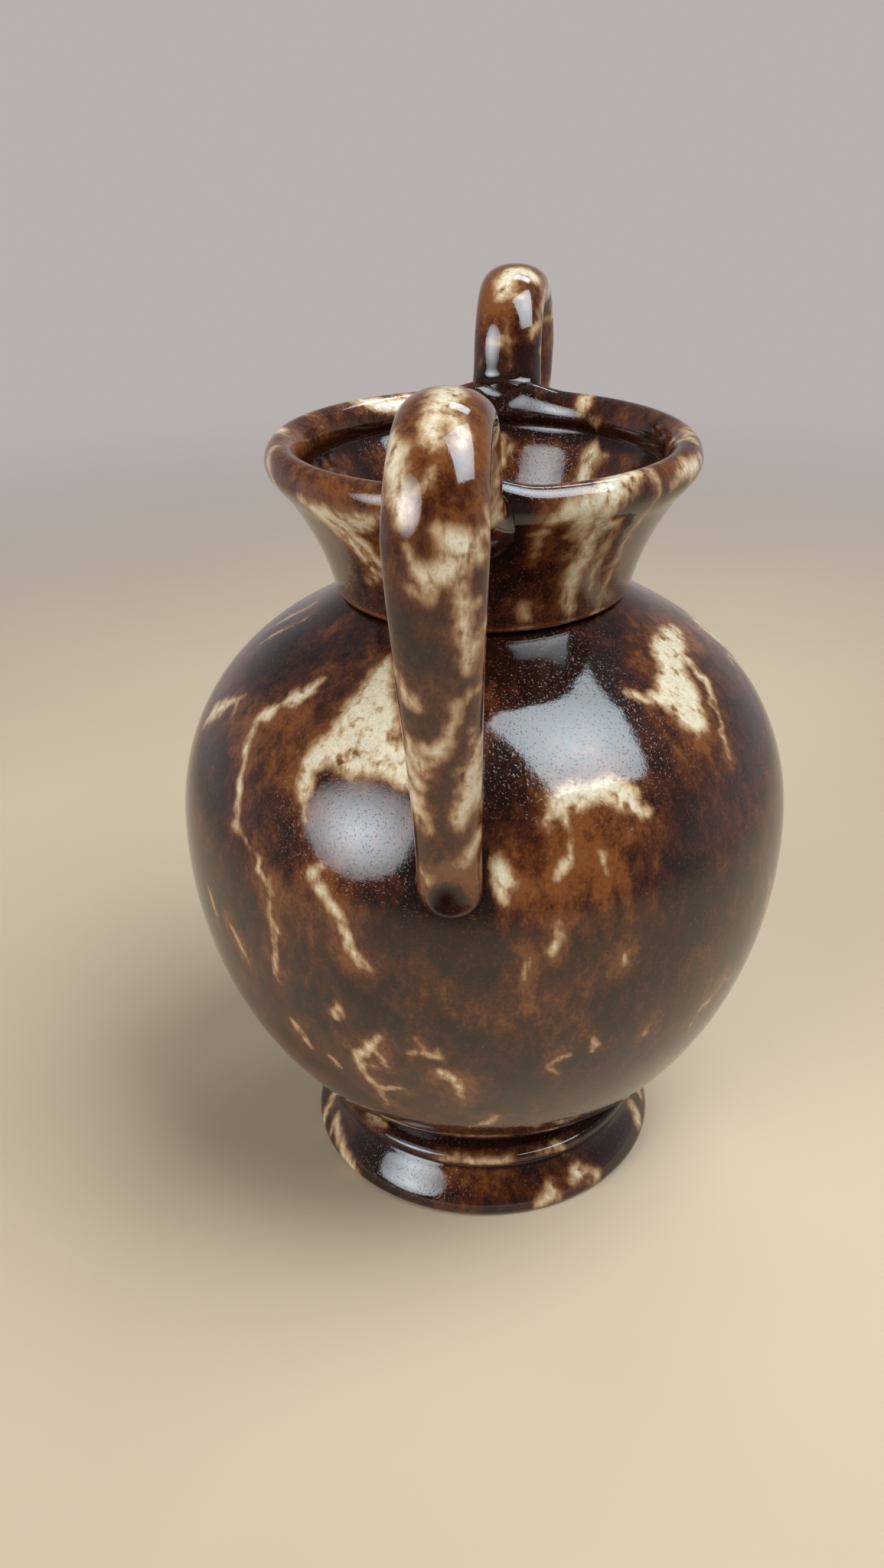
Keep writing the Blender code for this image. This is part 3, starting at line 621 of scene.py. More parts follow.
def stroke_path(place, stroke, rng):
    """A stroke's places, about PATH_SPACING apart and swaying a little, and its half widths."""
    control = np.array(stroke, float)
    spots = place(control[:, 0], control[:, 1])
    counts = [max(round(gap / PATH_SPACING), 1) for gap in gaps(spots)]
    stretches = [i + np.arange(0, 1, 1 / count) for i, count in enumerate(counts)]
    at = np.concatenate(stretches + [[len(counts)]])
    path = rows_at(at, range(len(control)), control)
    spots = place(path[:, 0], path[:, 1])
    sway = np.array([[rng.gauss(0, SWAY) for _ in range(3)] for _ in spots])
    widths = path[:, 2] * np.array([rng.uniform(*PATH_WIDTHS) for _ in spots])
    return spots + sway, widths


def vein_depth(points, place, strokes, rng, steep):
    """How deep each point lies in the nearest stroke, in mm, and below 0 how far outside it.

    Beside a thin stroke it falls off steep times as fast, which keeps the stroke crisp.
    """
    depth = np.full(len(points), -FARTHEST)
    for stroke in strokes:
        spots, widths = stroke_path(place, stroke, rng)
        reach = FARTHEST + widths.max()
        within = (points > spots.min(0) - reach) & (points < spots.max(0) + reach)
        near = np.flatnonzero(within.all(1))
        close, best = points[near], depth[near]
        for a, b, wide_a, wide_b in zip(spots, spots[1:], widths, widths[1:]):
            line = b - a
            t = np.clip((close - a) @ line / max(line @ line, 1e-9), 0, 1)
            away = np.linalg.norm(close - a - t[:, None] * line, axis=1)
            wide = wide_a + (wide_b - wide_a) * t
            fall = np.interp(wide, THIN_WIDTHS, (1, steep, steep, 1))
            best = np.maximum(best, wide - away * fall)
        depth[near] = best
    return np.clip(depth, -FARTHEST, DEEPEST)


def tone_at(points, place, tones):
    total = np.zeros(len(points))
    for across, along, reach, amount in tones:
        spot = place(np.array([float(across)]), np.array([float(along)]))[0]
        total += amount * np.exp(-((points - spot) ** 2).sum(1) / reach ** 2)
    return total


def wild_tones(wilds, rng):
    """Warmer and darker places at random, half as many as the veins that wander there."""
    tones = []
    for low, high, under, over, count, _, _ in wilds:
        for _ in range(count // 2):
            across, along = rng.uniform(low, high), rng.uniform(under, over)
            reach = rng.uniform(*WILD_TONE_REACH)
            tones.append((across, along, reach, rng.choice(WILD_TONE_AMOUNTS)))
    return tones


def fading(distance, reach):
    return np.exp(-((distance / reach) ** 2))


def pool_and_shade_round(spots, reach):
    """Glaze gathers, and shade is painted as darker glaze, within reach of these spots."""
    tree = KDTree(len(spots))
    for i, spot in enumerate(spots):
        tree.insert(spot, i)
    tree.balance()
    return lambda points: fading(np.array([tree.find(p)[2] for p in points]), reach)


def mesh_points(mesh):
    points = np.empty(len(mesh.vertices) * 3)
    mesh.vertices.foreach_get("co", points)
    return points.reshape(-1, 3) / MM


def polar(points):
    return np.hypot(points[:, 0], points[:, 1]), points[:, 2]


def coat(mesh, place, veins, tones, wilds, seed, pooled_and_shaded, steep=1.0):
    """Gives a mesh in the piece's own frame its two fields.

    The pooling gives how much darker glaze lies at a point, partly pooled glaze and partly painted
    shade; below 0 it gives where the glaze wore thin, partly a painted highlight.
    """
    rng = random.Random(seed)
    points = mesh_points(mesh)
    strokes = haired(place, veins + wandering(place, wilds, rng), rng)
    depth = vein_depth(points, place, strokes, rng, steep)
    tone = tone_at(points, place, tones + wild_tones(wilds, rng))
    # painted shade: pooled glaze and shade painted in hollows, corners and grooves both darken the
    # brown and hide the veins
    pool_and_painted_shade = POOL_AND_SHADE_DEPTH * pooled_and_shaded(points)
    for name, values in (("vein", depth - pool_and_painted_shade), ("tone", tone - pool_and_painted_shade)):
        field = mesh.attributes.new(name, "FLOAT", "POINT")
        field.data.foreach_set("value", np.ascontiguousarray(values, np.float32))


# ---- meshes


def placed(name, data):
    made = bpy.data.objects.new(name, data)
    bpy.context.scene.collection.objects.link(made)
    return made


def turned_mesh(name, rings, steps, closed):
    """Rings of (radius, height) in mm turned about the axis. The outer side runs downwards."""
    turn = 2 * math.pi * np.arange(steps) / steps
    ring = np.column_stack((np.cos(turn), np.sin(turn)))
    on_axis = rings[:, 0] < ON_AXIS
    first = np.append(0, np.cumsum(np.where(on_axis, 1, steps)))
    points = np.vstack([
        [(0, 0, z)] if pole else np.column_stack((radius * ring, np.full(steps, z)))
        for (radius, z), pole in zip(rings, on_axis)
    ])
    around = np.vstack((rings, rings[:1])) if closed else rings
    run = run_of(around)
    widest = 2 * math.pi * rings[:, 0].max()
    scale = max(widest, run[-1])
    here = np.arange(steps)
    after = (here + 1) % steps
    left, right = here * widest / steps / scale, (here + 1) * widest / steps / scale
    faces, places = [], []
    for a in range(len(around) - 1):
        b = (a + 1) % len(rings)
        top, foot = np.full(steps, run[a] / scale), np.full(steps, run[a + 1] / scale)
        corners = [
            (first[a] + here, left, top),
            (first[b] + here, left, foot),
            (first[b] + after, right, foot),
            (first[a] + after, right, top),
        ]
        if on_axis[a]:
            corners = [(np.full(steps, first[a]), (left + right) / 2, top)] + corners[1:3]
        elif on_axis[b]:
            pole = (np.full(steps, first[b]), (left + right) / 2, foot)
            corners = [corners[0], pole, corners[3]]
        faces += np.column_stack([c[0] for c in corners]).tolist()
        flat = np.stack([np.column_stack(c[1:]) for c in corners], axis=1)
        places.append(flat.reshape(-1, 2))
    mesh = bpy.data.meshes.new(name)
    mesh.from_pydata(points * MM, [], faces)
    layer = mesh.uv_layers.new(name="OFBake")
    layer.data.foreach_set("uv", np.vstack(places).astype(np.float32).ravel())
    mesh.shade_smooth()
    return mesh


def near_belly(points, step=0.5, steepest=6):
    """How far points lie outside the belly's skin, in mm."""
    radius, z = polar(points)
    skin = globe_radius(z - WIDEST_Z, *UPPER_HALF)
    slope = (skin - globe_radius(z - WIDEST_Z + step, *UPPER_HALF)) / step
    return (radius - skin) / np.sqrt(1 + np.clip(slope, 0, steepest) ** 2)


def near_collar(points, spacing=0.8):
    """How far points lie from the collar's outside, in mm."""
    flat = np.column_stack(polar(points))
    line = even(collar_outside(COLLAR_Z), spacing)
    return np.linalg.norm(flat[:, None] - line[None], axis=2).min(1)


def strap_mesh(name, rise, sides=80):
    """A handle on the +X side: swept, thumb-pressed, its ends flared where they are luted on."""
    route = handle_route(rise)
    run, count = run_of(route[:, :2]), len(even(route[:, :2], STRAP_SPACING))
    at = np.linspace(0, run[-1], count)
    route = rows_at(at, run, route)
    out = handle_frame(route)
    degrees = 360 * np.arange(sides) / sides
    points = np.vstack([
        strap_points(route[[i] * sides, :2], out[[i] * sides], route[i, 2], degrees)
        for i in range(count)
    ])
    middle = np.repeat(np.column_stack((route[:, 0], 0 * at, route[:, 1])), sides, axis=0)
    away = points - middle
    away /= np.linalg.norm(away, axis=1)[:, None]
    luting = BELLY_FLARE * np.exp(-np.maximum(near_belly(points), 0) / BELLY_FLARE_REACH)
    luting += LIP_FLARE * np.exp(-near_collar(points) / LIP_FLARE_REACH)
    points = pressed(points + away * luting[:, None], route)
    faces = []
    for i in range(count - 1):
        for j in range(sides):
            n = (j + 1) % sides
            a, b = i * sides, (i + 1) * sides
            faces.append((a + j, a + n, b + n, b + j))
    faces.append(tuple(reversed(range(sides))))
    faces.append(tuple(range((count - 1) * sides, count * sides)))
    mesh = bpy.data.meshes.new(name)
    mesh.from_pydata(points * MM, [], faces)
    return mesh


def pressed(points, route):
    """The thumb press: a scoop in the tongue's outer face, with the clay pushed up round it."""
    tip = route[-1]
    above = route[np.searchsorted(-route[:, 1], -(tip[1] + TONGUE_LENGTH))]
    along = np.array((above[0] - tip[0], 0, above[1] - tip[1]))
    along /= np.linalg.norm(along)
    outwards = np.array((along[2], 0, -along[0]))
    local = points - (tip[0], 0, tip[1])
    up, height = local @ along - SCOOP_ABOVE_TIP, local @ outwards
    length = np.where(up > 0, SCOOP_ABOVE, SCOOP_BELOW)
    width = np.where(points[:, 1] > 0, SCOOP_RIGHT, SCOOP_LEFT)
    away = np.hypot(up / length, points[:, 1] / width)
    rim = RIM_HEIGHT * fading(away - RIM_AT, RIM_WIDTH)
    rim *= np.clip(1 - up / (RIM_TOP * SCOOP_ABOVE), 0, 1)
    moved = rim - SCOOP_DEPTH * np.clip(1 - away ** 2, 0, 1) ** SCOOP_POWER
    outer = (height > 0) & (away < 2)
    return points + np.where(outer, moved, 0)[:, None] * outwards


def cut_mesh(mesh, cutters):
    """The mesh with other meshes cut away from it."""
    whole = placed("cut_piece", mesh)
    helpers = [placed("cutter", cutter) for cutter in cutters]
    for helper in helpers:
        boolean = whole.modifiers.new("Cut", "BOOLEAN")
        boolean.operation = "DIFFERENCE"
        boolean.object = helper
    graph = bpy.context.evaluated_depsgraph_get()
    made = bpy.data.meshes.new_from_object(whole.evaluated_get(graph))
    made.name = mesh.name
    for helper in [whole] + helpers:
        bpy.data.objects.remove(helper)
    return made


def offset(points, distance):
    run = np.gradient(points, axis=0)
    run /= np.maximum(np.linalg.norm(run, axis=1), 1e-9)[:, None]
    return points + distance * np.column_stack((-run[:, 1], run[:, 0]))


def handle_cutters(fine=0.4, lip_spacing=1.6, belly_spacing=2.5):
    """Plugs the shape of the collar and of the belly, a joint's overlap inside their skins."""
    lip = even(offset(even(collar_outside(COLLAR_Z), fine), -JOINT_OVERLAP), lip_spacing)
    collar = np.vstack(([(0, lip[0, 1])], lip, [(0, lip[-1, 1])]))
    sizes = (size - JOINT_OVERLAP for size in (BELLY_RADIUS, BELLY_RISE, BELLY_DROP))
    belly = even(globe(*sizes, 0, 0), belly_spacing)
    belly[[0, -1], 0] = 0
    plugs = ("collar_plug", collar), ("belly_plug", belly)
    return [turned_mesh(name, rings, PLUG_STEPS, False) for name, rings in plugs]


# ---- glaze

DARK, BROWN, AMBER = (0.0140, 0.0036, 0.0018), (0.062, 0.0140, 0.0042), (0.180, 0.056, 0.0125)
RUST, TAN = (0.16, 0.055, 0.018), (0.34, 0.185, 0.085)
PALE, CREAM = (0.56, 0.40, 0.235), (0.72, 0.60, 0.42)
CLAYS = {0.30: (0.36, 0.235, 0.135), 0.55: (0.52, 0.385, 0.25), 0.75: (0.60, 0.47, 0.33)}
WORN_CLAY = (0.23, 0.16, 0.11)

GLAZE_IOR = 1.62
BUMP_DISTANCE = 0.0003  # in metres
SHINE = 0.5  # the shader's own specular level, where the darkest painted shade doesn't dull it


class Nodes:
    """Adds nodes to a tree, with inputs given as numbers, colours or other nodes' outputs."""

    def __init__(self, tree):
        self.tree = tree

    def add(self, kind, inputs=(), **settings):
        made = self.tree.nodes.new(kind)
        for key, value in settings.items():
            setattr(made, key, value)
        for key, value in dict(inputs).items():
            self.put(made.inputs[key], value)
        return made

    def put(self, socket, value):
        if isinstance(value, bpy.types.NodeSocket):
            self.tree.links.new(value, socket)
        else:
            socket.default_value = value

    def noise(self, place, scale, seed, detail=3, roughness=0.6):
        made = self.add(
            "ShaderNodeTexNoise",
            {"Vector": place, "Scale": scale, "Detail": detail, "Roughness": roughness, "W": seed},
            noise_dimensions="4D",
        )
        return made.outputs["Fac"]

    def math(self, operation, *values):
        made = self.add("ShaderNodeMath", dict(enumerate(values)), operation=operation)
        return made.outputs[0]

    def sum(self, total, *others):
        for other in others:
            total = self.math("ADD", total, other)
        return total

    def scaled(self, value, factor, shift=0.0):
        return self.math("MULTIPLY_ADD", value, factor, shift)

    def spread(self, value, low, high, to_low=0.0, to_high=1.0, smooth=False):
        ends = {"From Min": low, "From Max": high, "To Min": to_low, "To Max": to_high}
        made = self.add(
            "ShaderNodeMapRange",
            {"Value": value, **ends},
            interpolation_type="SMOOTHSTEP" if smooth else "LINEAR",
        )
        return made.outputs["Result"]

    def stretched(self, place, downwards):
        """The place with its height shrunk, which draws noise out down the pot."""
        inputs = {0: place, 1: (1, 1, downwards)}
        return self.add("ShaderNodeVectorMath", inputs, operation="MULTIPLY").outputs[0]

    def ramp(self, value, stops):
        made = self.add("ShaderNodeValToRGB", {"Fac": value})
        elements = made.color_ramp.elements
        while len(elements) < len(stops):
            elements.new(0.5)
        for element, (position, colour) in zip(elements, stops.items()):
            element.position = position
            element.color = (*colour, 1)
        return made.outputs["Color"]

    def mix(self, factor, first, second):
        made = self.add("ShaderNodeMix", data_type="RGBA", blend_type="MIX")
        for socket, value in ((0, factor), (6, first), (7, second)):
            self.put(made.inputs[socket], value)
        return made.outputs[2]

    def bump(self, height, strength):
        inputs = {"Height": height, "Strength": strength, "Distance": BUMP_DISTANCE}
        return self.add("ShaderNodeBump", inputs).outputs["Normal"]


def new_material(name):
    """A material, its nodes, its shader's inputs and the place on the object."""
    material = bpy.data.materials.new(name)
    material.use_nodes = True
    nodes = Nodes(material.node_tree)
    sockets = material.node_tree.nodes["Principled BSDF"].inputs
    return material, nodes, sockets, nodes.add("ShaderNodeTexCoord").outputs["Object"]


def glaze(name, seed, peel_height=0.09, pinholes=0.11):
    """The tortoiseshell. The noises' scales count in metres, and vein and depth in mm."""
    material, nodes, sockets, place = new_material(name)
    running, streaks = nodes.stretched(place, 0.5), nodes.stretched(place, 0.3)
    vein = nodes.add("ShaderNodeAttribute", attribute_name="vein").outputs["Fac"]
    tone = nodes.add("ShaderNodeAttribute", attribute_name="tone").outputs["Fac"]

    # Noise that runs down the pot feathers the veins' edges, and brown blots break them up.
    broad = nodes.noise(running, 260, seed, roughness=0.55)
    fine = nodes.noise(streaks, 900, seed + 3, detail=4)
    blots = nodes.noise(running, 430, seed + 4)
    inside = nodes.spread(vein, 0.0, 1.4, 0.35, 1.0)
    blots = nodes.math("MULTIPLY", nodes.spread(blots, 0.49, 0.70, 0.0, 2.2), inside)
    depth = nodes.sum(vein, nodes.scaled(broad, 2.3, -1.42), nodes.scaled(fine, 1.7, -0.92))
    depth = nodes.math("SUBTRACT", depth, blots)

    # The brown runs from nearly black, where the glaze gathered, to amber beside the veins.
    cloud = nodes.noise(place, 62, seed + 5, roughness=0.55)
    mottle = nodes.noise(running, 380, seed + 7, detail=5, roughness=0.68)
    grain = nodes.noise(place, 1500, seed + 8)
    warmth = nodes.sum(
        nodes.scaled(cloud, 1.9, -0.53),
        nodes.scaled(tone, 0.34),
        nodes.scaled(mottle, 2.0, -1.02),
        nodes.scaled(grain, 0.7, -0.35),
        nodes.spread(vein, -7.0, -0.5, -0.16, 0.22),
    )
    ground = nodes.ramp(warmth, {0.05: DARK, 0.45: BROWN, 0.90: AMBER})
    pales = {0.0: RUST, 0.35: TAN, 0.65: PALE, 0.95: CREAM}
    pale = nodes.ramp(nodes.spread(depth, -1.3, 1.1), pales)
    colour = nodes.mix(nodes.spread(depth, -2.0, -0.3, smooth=True), ground, pale)

    # Speckle of about 0.4 mm, and a finer change of shade
    specks = nodes.noise(place, 2300, seed + 9, detail=2, roughness=0.5)
    colour = nodes.mix(nodes.spread(specks, 0.58, 0.72, 0.0, 0.40), colour, (*RUST, 1))
    shade = nodes.noise(place, 1000, seed + 11, roughness=0.7)
    shaded = nodes.add("ShaderNodeVectorMath", {0: colour}, operation="SCALE")
    nodes.put(shaded.inputs["Scale"], nodes.spread(shade, 0.3, 0.7, 0.82, 1.14))
    nodes.put(sockets["Base Color"], shaded.outputs["Vector"])

    # A high gloss, dulled where the brown is painted darkest, so the painted-shade hollows show no
    # reflection
    gloss = nodes.noise(place, 600, seed + 13, detail=4, roughness=0.65)
    gloss = nodes.spread(gloss, 0.3, 0.75, 0.03, 0.10)
    darkest_dulling = nodes.spread(tone, -6.0, -2.0, 0.35, 0.0)
    nodes.put(sockets["Roughness"], nodes.math("ADD", gloss, darkest_dulling))
    nodes.put(sockets["Specular IOR Level"], nodes.spread(tone, -6.0, -1.2, 0.02, SHINE))
    sockets["IOR"].default_value = GLAZE_IOR

    # The skin of the glaze: long waves, an orange peel and a few pinholes
    waves = nodes.noise(place, 90, seed + 15, detail=2, roughness=0.5)
    peel = nodes.noise(place, 1300, seed + 17)
    holes = nodes.spread(specks, 0.60, 0.70, 0.0, -pinholes)
    relief = nodes.sum(waves, nodes.scaled(peel, peel_height), holes)
    nodes.put(sockets["Normal"], nodes.bump(relief, strength=0.5))
    return material


def bare_clay(name):
    """The unglazed standing ring under the foot."""
    material, nodes, sockets, place = new_material(name)
    grain = nodes.noise(place, 700, 2.0, detail=6, roughness=0.7)
    worn = nodes.noise(place, 120, 5.0)
    colour = nodes.ramp(grain, CLAYS)
    colour = nodes.mix(nodes.spread(worn, 0.50, 0.70, 0.0, 0.55), colour, (*WORN_CLAY, 1))
    nodes.put(sockets["Base Color"], colour)
    nodes.put(sockets["Roughness"], nodes.spread(grain, 0.3, 0.7, 0.75, 0.95))
    nodes.put(sockets["Normal"], nodes.bump(grain, strength=0.6))
    return material


# ---- pieces


def piece(name, mesh, node, slot, *materials):
    made = placed(name, mesh)
    mesh.materials.clear()
    for material in materials:
        mesh.materials.append(material)
    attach(made, "root")
    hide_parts(node)


def make_handle(side, rise, degrees, veins, tones, wilds, seed):
    """Makes a handle and returns the points where it meets the vase."""
    name = f"glazed_{side}_handle"
    mesh = cut_mesh(strap_mesh(name, rise), handle_cutters())
    place = on_handle(rise)
    pit = place(np.zeros(1), np.full(1, PIT_ALONG)) - PIT_SHIFT

    def joint(points):
        # Darker near the handle's ends: partly glaze pooled at the joints, partly painted shade,
        # as in the dark gap at the root under the lip.
        on_the_belly = fading(near_belly(points), END_REACH)
        return on_the_belly + fading(near_collar(points), ROOT_REACH)

    def pooled_and_shaded(points):
        # and painted shade in the pit of the thumb press
        return joint(points) + PIT_SHADE_AMOUNT * np.exp(-(((points - pit) / PIT_REACH) ** 2).sum(1))

    coat(mesh, place, veins, tones, wilds, seed, pooled_and_shaded)
    mesh.shade_smooth()
    mesh.set_sharp_from_angle(angle=math.radians(SHARP_DEGREES))
    mesh.transform(Matrix.Rotation(math.radians(degrees), 4, "Z"))
    material = glaze(f"{side}_handle_tortoiseshell", seed + 50.0, peel_height=0.03, pinholes=0.03)
    piece(name, mesh, f"{side}_handle", "handle_glaze", material)
    points = mesh_points(mesh)
    return points[joint(points) > JOINT_LEAST]


def make_belly(joints):
    mesh = turned_mesh("glazed_belly", belly_profile(), BELLY_STEPS, False)
    # Darker round the handles' ends: partly pooled glaze, partly painted shade in the corners.
    pooled_and_shaded = pool_and_shade_round(joints, JOINT_REACH)
    lists = BELLY_VEINS, BELLY_TONES, BELLY_WILDS
    coat(mesh, on_belly, *lists, SEED, pooled_and_shaded, BELLY_STEEPNESS)
    piece("glazed_belly", mesh, "belly", "belly_glaze", glaze("belly_tortoiseshell", seed=1.0))


def swept_lip(mesh):
    """Lifts the lip beside each handle, where it was smoothed up into the root."""
    points = mesh_points(mesh)
    radius, z = polar(points)
    turn = np.degrees(np.arctan2(points[:, 1], points[:, 0]))
    high = np.clip((z - LIP_EDGE_Z + 1) / LIP_HEIGHT, 0, 1) * (radius > LIP_INNER_RADIUS - 1)
    for degrees in (RIGHT_HANDLE_DEGREES, LEFT_HANDLE_DEGREES):
        aside = np.radians(np.abs((turn - degrees + 180) % 360 - 180)) * radius
        width = np.where(aside > SWEEP_AT, SWEEP_OUTER_WIDTH, SWEEP_INNER_WIDTH)
        points[:, 2] += high * SWEEP_HEIGHT * fading(aside - SWEEP_AT, width)
    mesh.vertices.foreach_set("co", (points * MM).ravel())


def make_collar(joints):
    bottom = COLLAR_Z - JOINT_GAP - JOINT_OVERLAP
    loop = joined(collar_outside(bottom), collar_inside(bottom))
    loop = eased_loop(loop, fine=0.35, passes=3, spacing=0.72)
    mesh = turned_mesh("glazed_collar", loop, COLLAR_STEPS, True)
    swept_lip(mesh)
    near_handles = pool_and_shade_round(joints, JOINT_REACH)

    def pooled_and_shaded(points):
        # Painted shade, partly pooled glaze, in the groove under the collar, in the lip's inner
        # crease and round the handles' roots; lighter along the base edge, where the glaze wore
        # thin and a highlight is painted.
        radius, z = polar(points)
        below = np.clip((COLLAR_EDGE_Z - GROOVE_BELOW_EDGE - z) / GROOVE_FADE, 0, 1)
        groove = GROOVE_SHADE_AMOUNT * below * (radius > GROOVE_RADIUS)
        edge = fading(z - COLLAR_EDGE_Z + WEAR_AND_HIGHLIGHT_DROP, WEAR_AND_HIGHLIGHT_REACH)
        edge *= radius > COLLAR_BASE_RADIUS - 1
        crease = fading(np.hypot(radius - LIP_INNER_RADIUS, z - CREASE_Z), CREASE_REACH)
        return np.maximum(np.maximum(groove, crease), near_handles(points)) - EDGE_WEAR_AND_HIGHLIGHT * edge

    coat(mesh, on_collar, COLLAR_VEINS, COLLAR_TONES, COLLAR_WILDS, SEED + 1, pooled_and_shaded)
    material = glaze("collar_tortoiseshell", seed=21.0)
    piece("glazed_collar", mesh, "neck_collar", "collar_glaze", material)


def make_foot():
    loop = foot_profile(FOOT_HEIGHT + JOINT_OVERLAP)
    loop = eased_loop(loop, fine=0.3, passes=2, spacing=0.65)
    loop[:, 1] = np.maximum(loop[:, 1], 0)
    mesh = turned_mesh("glazed_foot", loop, FOOT_STEPS, True)

    def bead_groove_shade(points):
        # Darker in the grooves under and over the bead: partly pooled glaze, partly painted shade.
        radius, z = polar(points)
        away = (np.hypot(radius - r, z - height) for r, height in (UNDER_BEAD, OVER_BEAD))
        return fading(np.minimum(*away), FOOT_GROOVE_REACH)

    coat(mesh, on_foot, FOOT_VEINS, FOOT_TONES, FOOT_WILDS, SEED + 2, bead_groove_shade)
    materials = glaze("foot_tortoiseshell", seed=41.0), bare_clay("bare_clay")
    piece("glazed_foot", mesh, "foot_ring", "foot_glaze", *materials)
    for face in mesh.polygons:
        face.material_index = int(face.center.z < BARE_BELOW * MM)


RIGHT_LISTS = RIGHT_HANDLE_VEINS, RIGHT_HANDLE_TONES, RIGHT_HANDLE_WILDS
LEFT_LISTS = LEFT_HANDLE_VEINS, LEFT_HANDLE_TONES, LEFT_HANDLE_WILDS
joints = np.vstack((
    make_handle("right", RIGHT_HANDLE_RISE, RIGHT_HANDLE_DEGREES, *RIGHT_LISTS, SEED + 3),
    make_handle("left", LEFT_HANDLE_RISE, LEFT_HANDLE_DEGREES, *LEFT_LISTS, SEED + 4),
))
make_belly(joints)
make_collar(joints)
make_foot()

# ---- floor, light and camera

FLOOR_SIDES, FLOOR_ROUGHNESS = 96, 0.9
FADE_FROM, FADE_TO = 0.20, 0.75  # metres from the axis
FLOOR_COLOURS = {0.3: (0.60, 0.45, 0.305), 0.7: (0.63, 0.48, 0.33)}
BACKDROP, OVERHEAD = (0.475, 0.435, 0.43), (0.19, 0.19, 0.20)
DAYLIGHT, PALE_DAYLIGHT = (0.82, 0.93, 1.0), (0.88, 0.95, 1.0)
LAMP_DISTANCE, AIM_HEIGHT = 0.9, 0.11  # in metres

FOCAL_PIXELS, PHOTO_PIXELS, SENSOR_MM = 1800.5, 2048, 36
PITCH, YAW, ROLL, ROUND_VASE = (math.radians(a) for a in (27.79, 1.911, -0.876, 5.3))
CAMERA_OUT, CAMERA_UP, CLIP_START = 0.24853, 0.21324, 0.01  # in metres


def make_floor():
    """A pale disc that fades into the world's colour, so that no edge of it shows."""
    turn = 2 * math.pi * np.arange(FLOOR_SIDES) / FLOOR_SIDES
    mesh = bpy.data.meshes.new("floor")
    rim = [(math.cos(t), math.sin(t), 0) for t in turn]
    mesh.from_pydata(rim, [], [tuple(range(FLOOR_SIDES))])
    floor = placed("floor", mesh)
    material, nodes, sockets, place = new_material("pale_floor")
    cloud = nodes.noise(place, 9, 1.0, roughness=0.5)
    nodes.put(sockets["Base Color"], nodes.ramp(cloud, FLOOR_COLOURS))
    sockets["Roughness"].default_value = FLOOR_ROUGHNESS
    length = nodes.add("ShaderNodeVectorMath", {0: place}, operation="LENGTH").outputs["Value"]
    nodes.put(sockets["Alpha"], nodes.spread(length, FADE_FROM, FADE_TO, 1.0, 0.0, smooth=True))
    mesh.materials.append(material)


def make_world():
    """A pale backdrop behind the vase.

    The room is dimmer overhead and on the camera's side, as the glaze mirrors it.
    """
    world = bpy.data.worlds.new("studio")
    bpy.context.scene.world = world
    world.use_nodes = True
    nodes = Nodes(world.node_tree)
    sky = world.node_tree.nodes["Background"].inputs
    way = nodes.add("ShaderNodeTexCoord").outputs["Generated"]
    split = nodes.add("ShaderNodeSeparateXYZ", {0: way}).outputs
    nodes.put(sky["Color"], nodes.ramp(split["Z"], {0.04: BACKDROP, 0.42: OVERHEAD}))
    nodes.put(sky["Strength"], nodes.spread(split["X"], -0.2, 0.7, 1.0, 0.3, smooth=True))


def standing(right, up, back, spot):
    """The matrix of a lamp or camera at a spot, from the ways of its own axes."""
    columns = right, up, back, spot
    return Matrix([[column[i] for column in columns] for i in range(3)] + [(0, 0, 0, 1)])


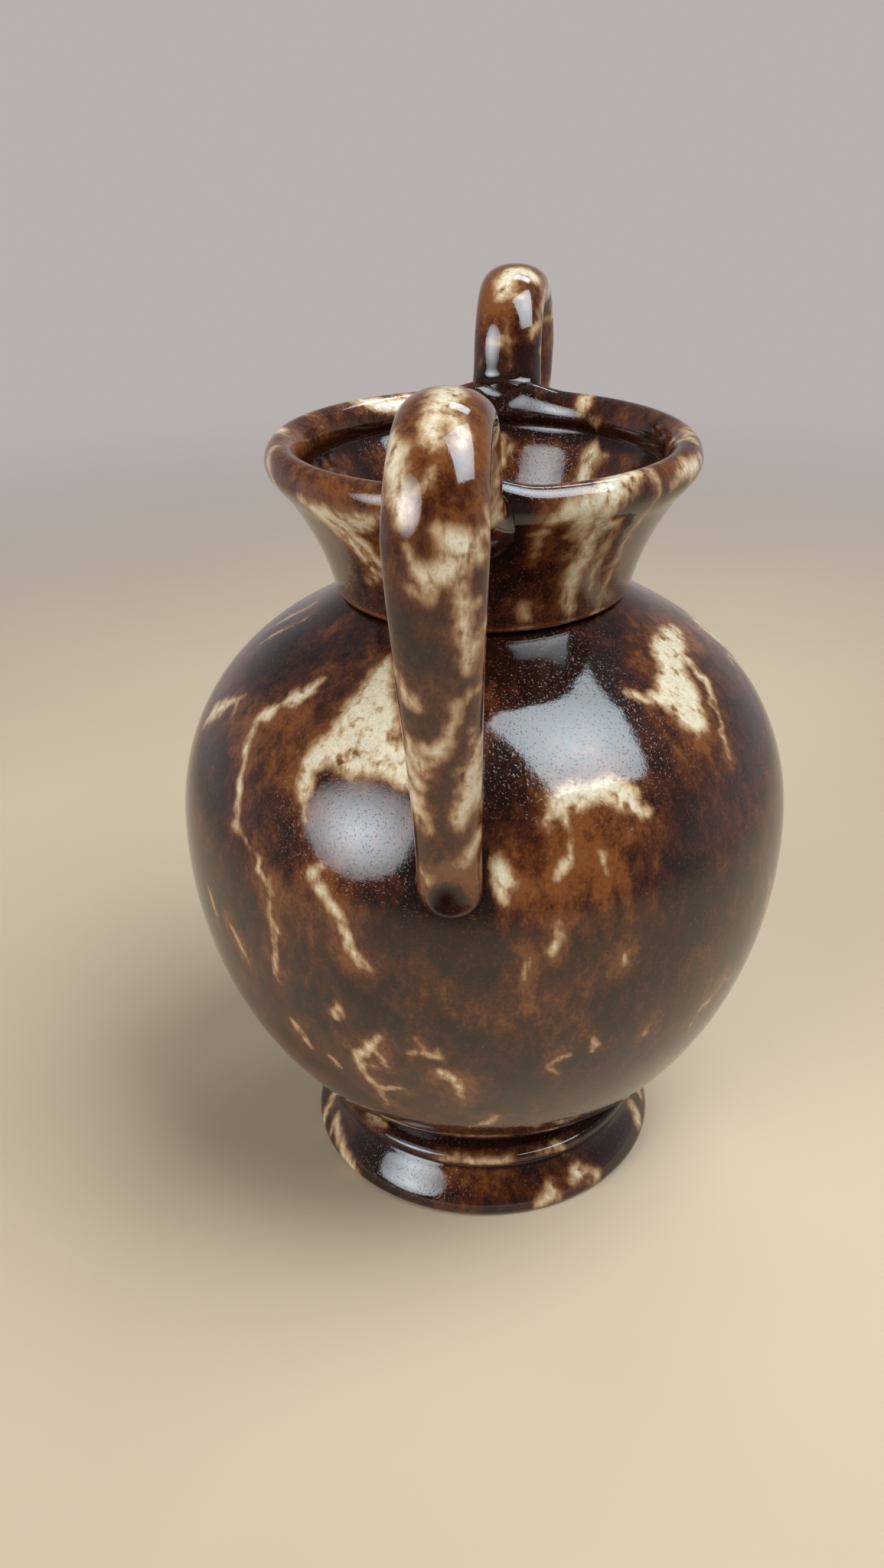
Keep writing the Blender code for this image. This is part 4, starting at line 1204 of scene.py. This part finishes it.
def softbox(name, azimuth, elevation, along, size, radiance, colour, spread=90, oval=False):
    """A sheet of light aimed at the belly's shoulder, brightest in its middle.

    Along is the way its width runs.
    """
    half = math.radians(spread / 2)
    lamp = bpy.data.lights.new(name, "AREA")
    lamp.shape = "ELLIPSE" if oval else "RECTANGLE"
    lamp.size, lamp.size_y = size
    lamp.spread = 2 * half
    lamp.color = colour
    area = size[0] * size[1] * (math.pi / 4 if oval else 1)
    narrowed = math.tan(half) / (math.tan(half) - half)  # how much the spread brightens the middle
    lamp.energy = radiance * math.pi * area / narrowed
    a, e = math.radians(azimuth), math.radians(elevation)
    back = Vector((math.cos(e) * math.cos(a), math.cos(e) * math.sin(a), math.sin(e)))
    across = (Vector(along) - Vector(along).dot(back) * back).normalized()
    spot = back * LAMP_DISTANCE + Vector((0, 0, AIM_HEIGHT))
    placed(name, lamp).matrix_world = standing(across, back.cross(across), back, spot)


def make_camera():
    """The photograph's camera: its place, its tilt and the lens, fitted to the vase's outline."""
    level = -math.cos(PITCH)
    ahead = Vector((level * math.cos(YAW), level * math.sin(YAW), -math.sin(PITCH)))
    right = ahead.cross(Vector((0, 0, 1))).normalized()
    up = right.cross(ahead)
    rolled_right = right * math.cos(ROLL) + up * math.sin(ROLL)
    rolled_up = up * math.cos(ROLL) - right * math.sin(ROLL)
    stand = standing(rolled_right, rolled_up, -ahead, (CAMERA_OUT, 0, CAMERA_UP))
    lens = bpy.data.cameras.new("camera")
    lens.sensor_fit = "VERTICAL"
    lens.sensor_height = SENSOR_MM
    lens.lens = SENSOR_MM * FOCAL_PIXELS / PHOTO_PIXELS
    lens.clip_start = CLIP_START
    camera = placed("camera", lens)
    camera.matrix_world = Matrix.Rotation(ROUND_VASE, 4, "Z") @ stand
    bpy.context.scene.camera = camera


make_floor()
make_world()
softbox(
    "window", azimuth=72, elevation=60, along=(-0.717, 0.654, -0.240), size=(0.62, 0.76),
    radiance=11.0, colour=DAYLIGHT,
)
softbox(
    "back_window", azimuth=164, elevation=54, along=(0, 1, 0), size=(0.30, 0.14),
    radiance=8.0, colour=DAYLIGHT,
)
softbox(
    "front_fill", azimuth=-42, elevation=21, along=(0.66, 0.75, 0), size=(0.70, 0.80),
    radiance=11.5, colour=PALE_DAYLIGHT, spread=53, oval=True,
)
make_camera()
bpy.context.scene.view_settings.view_transform = "Standard"
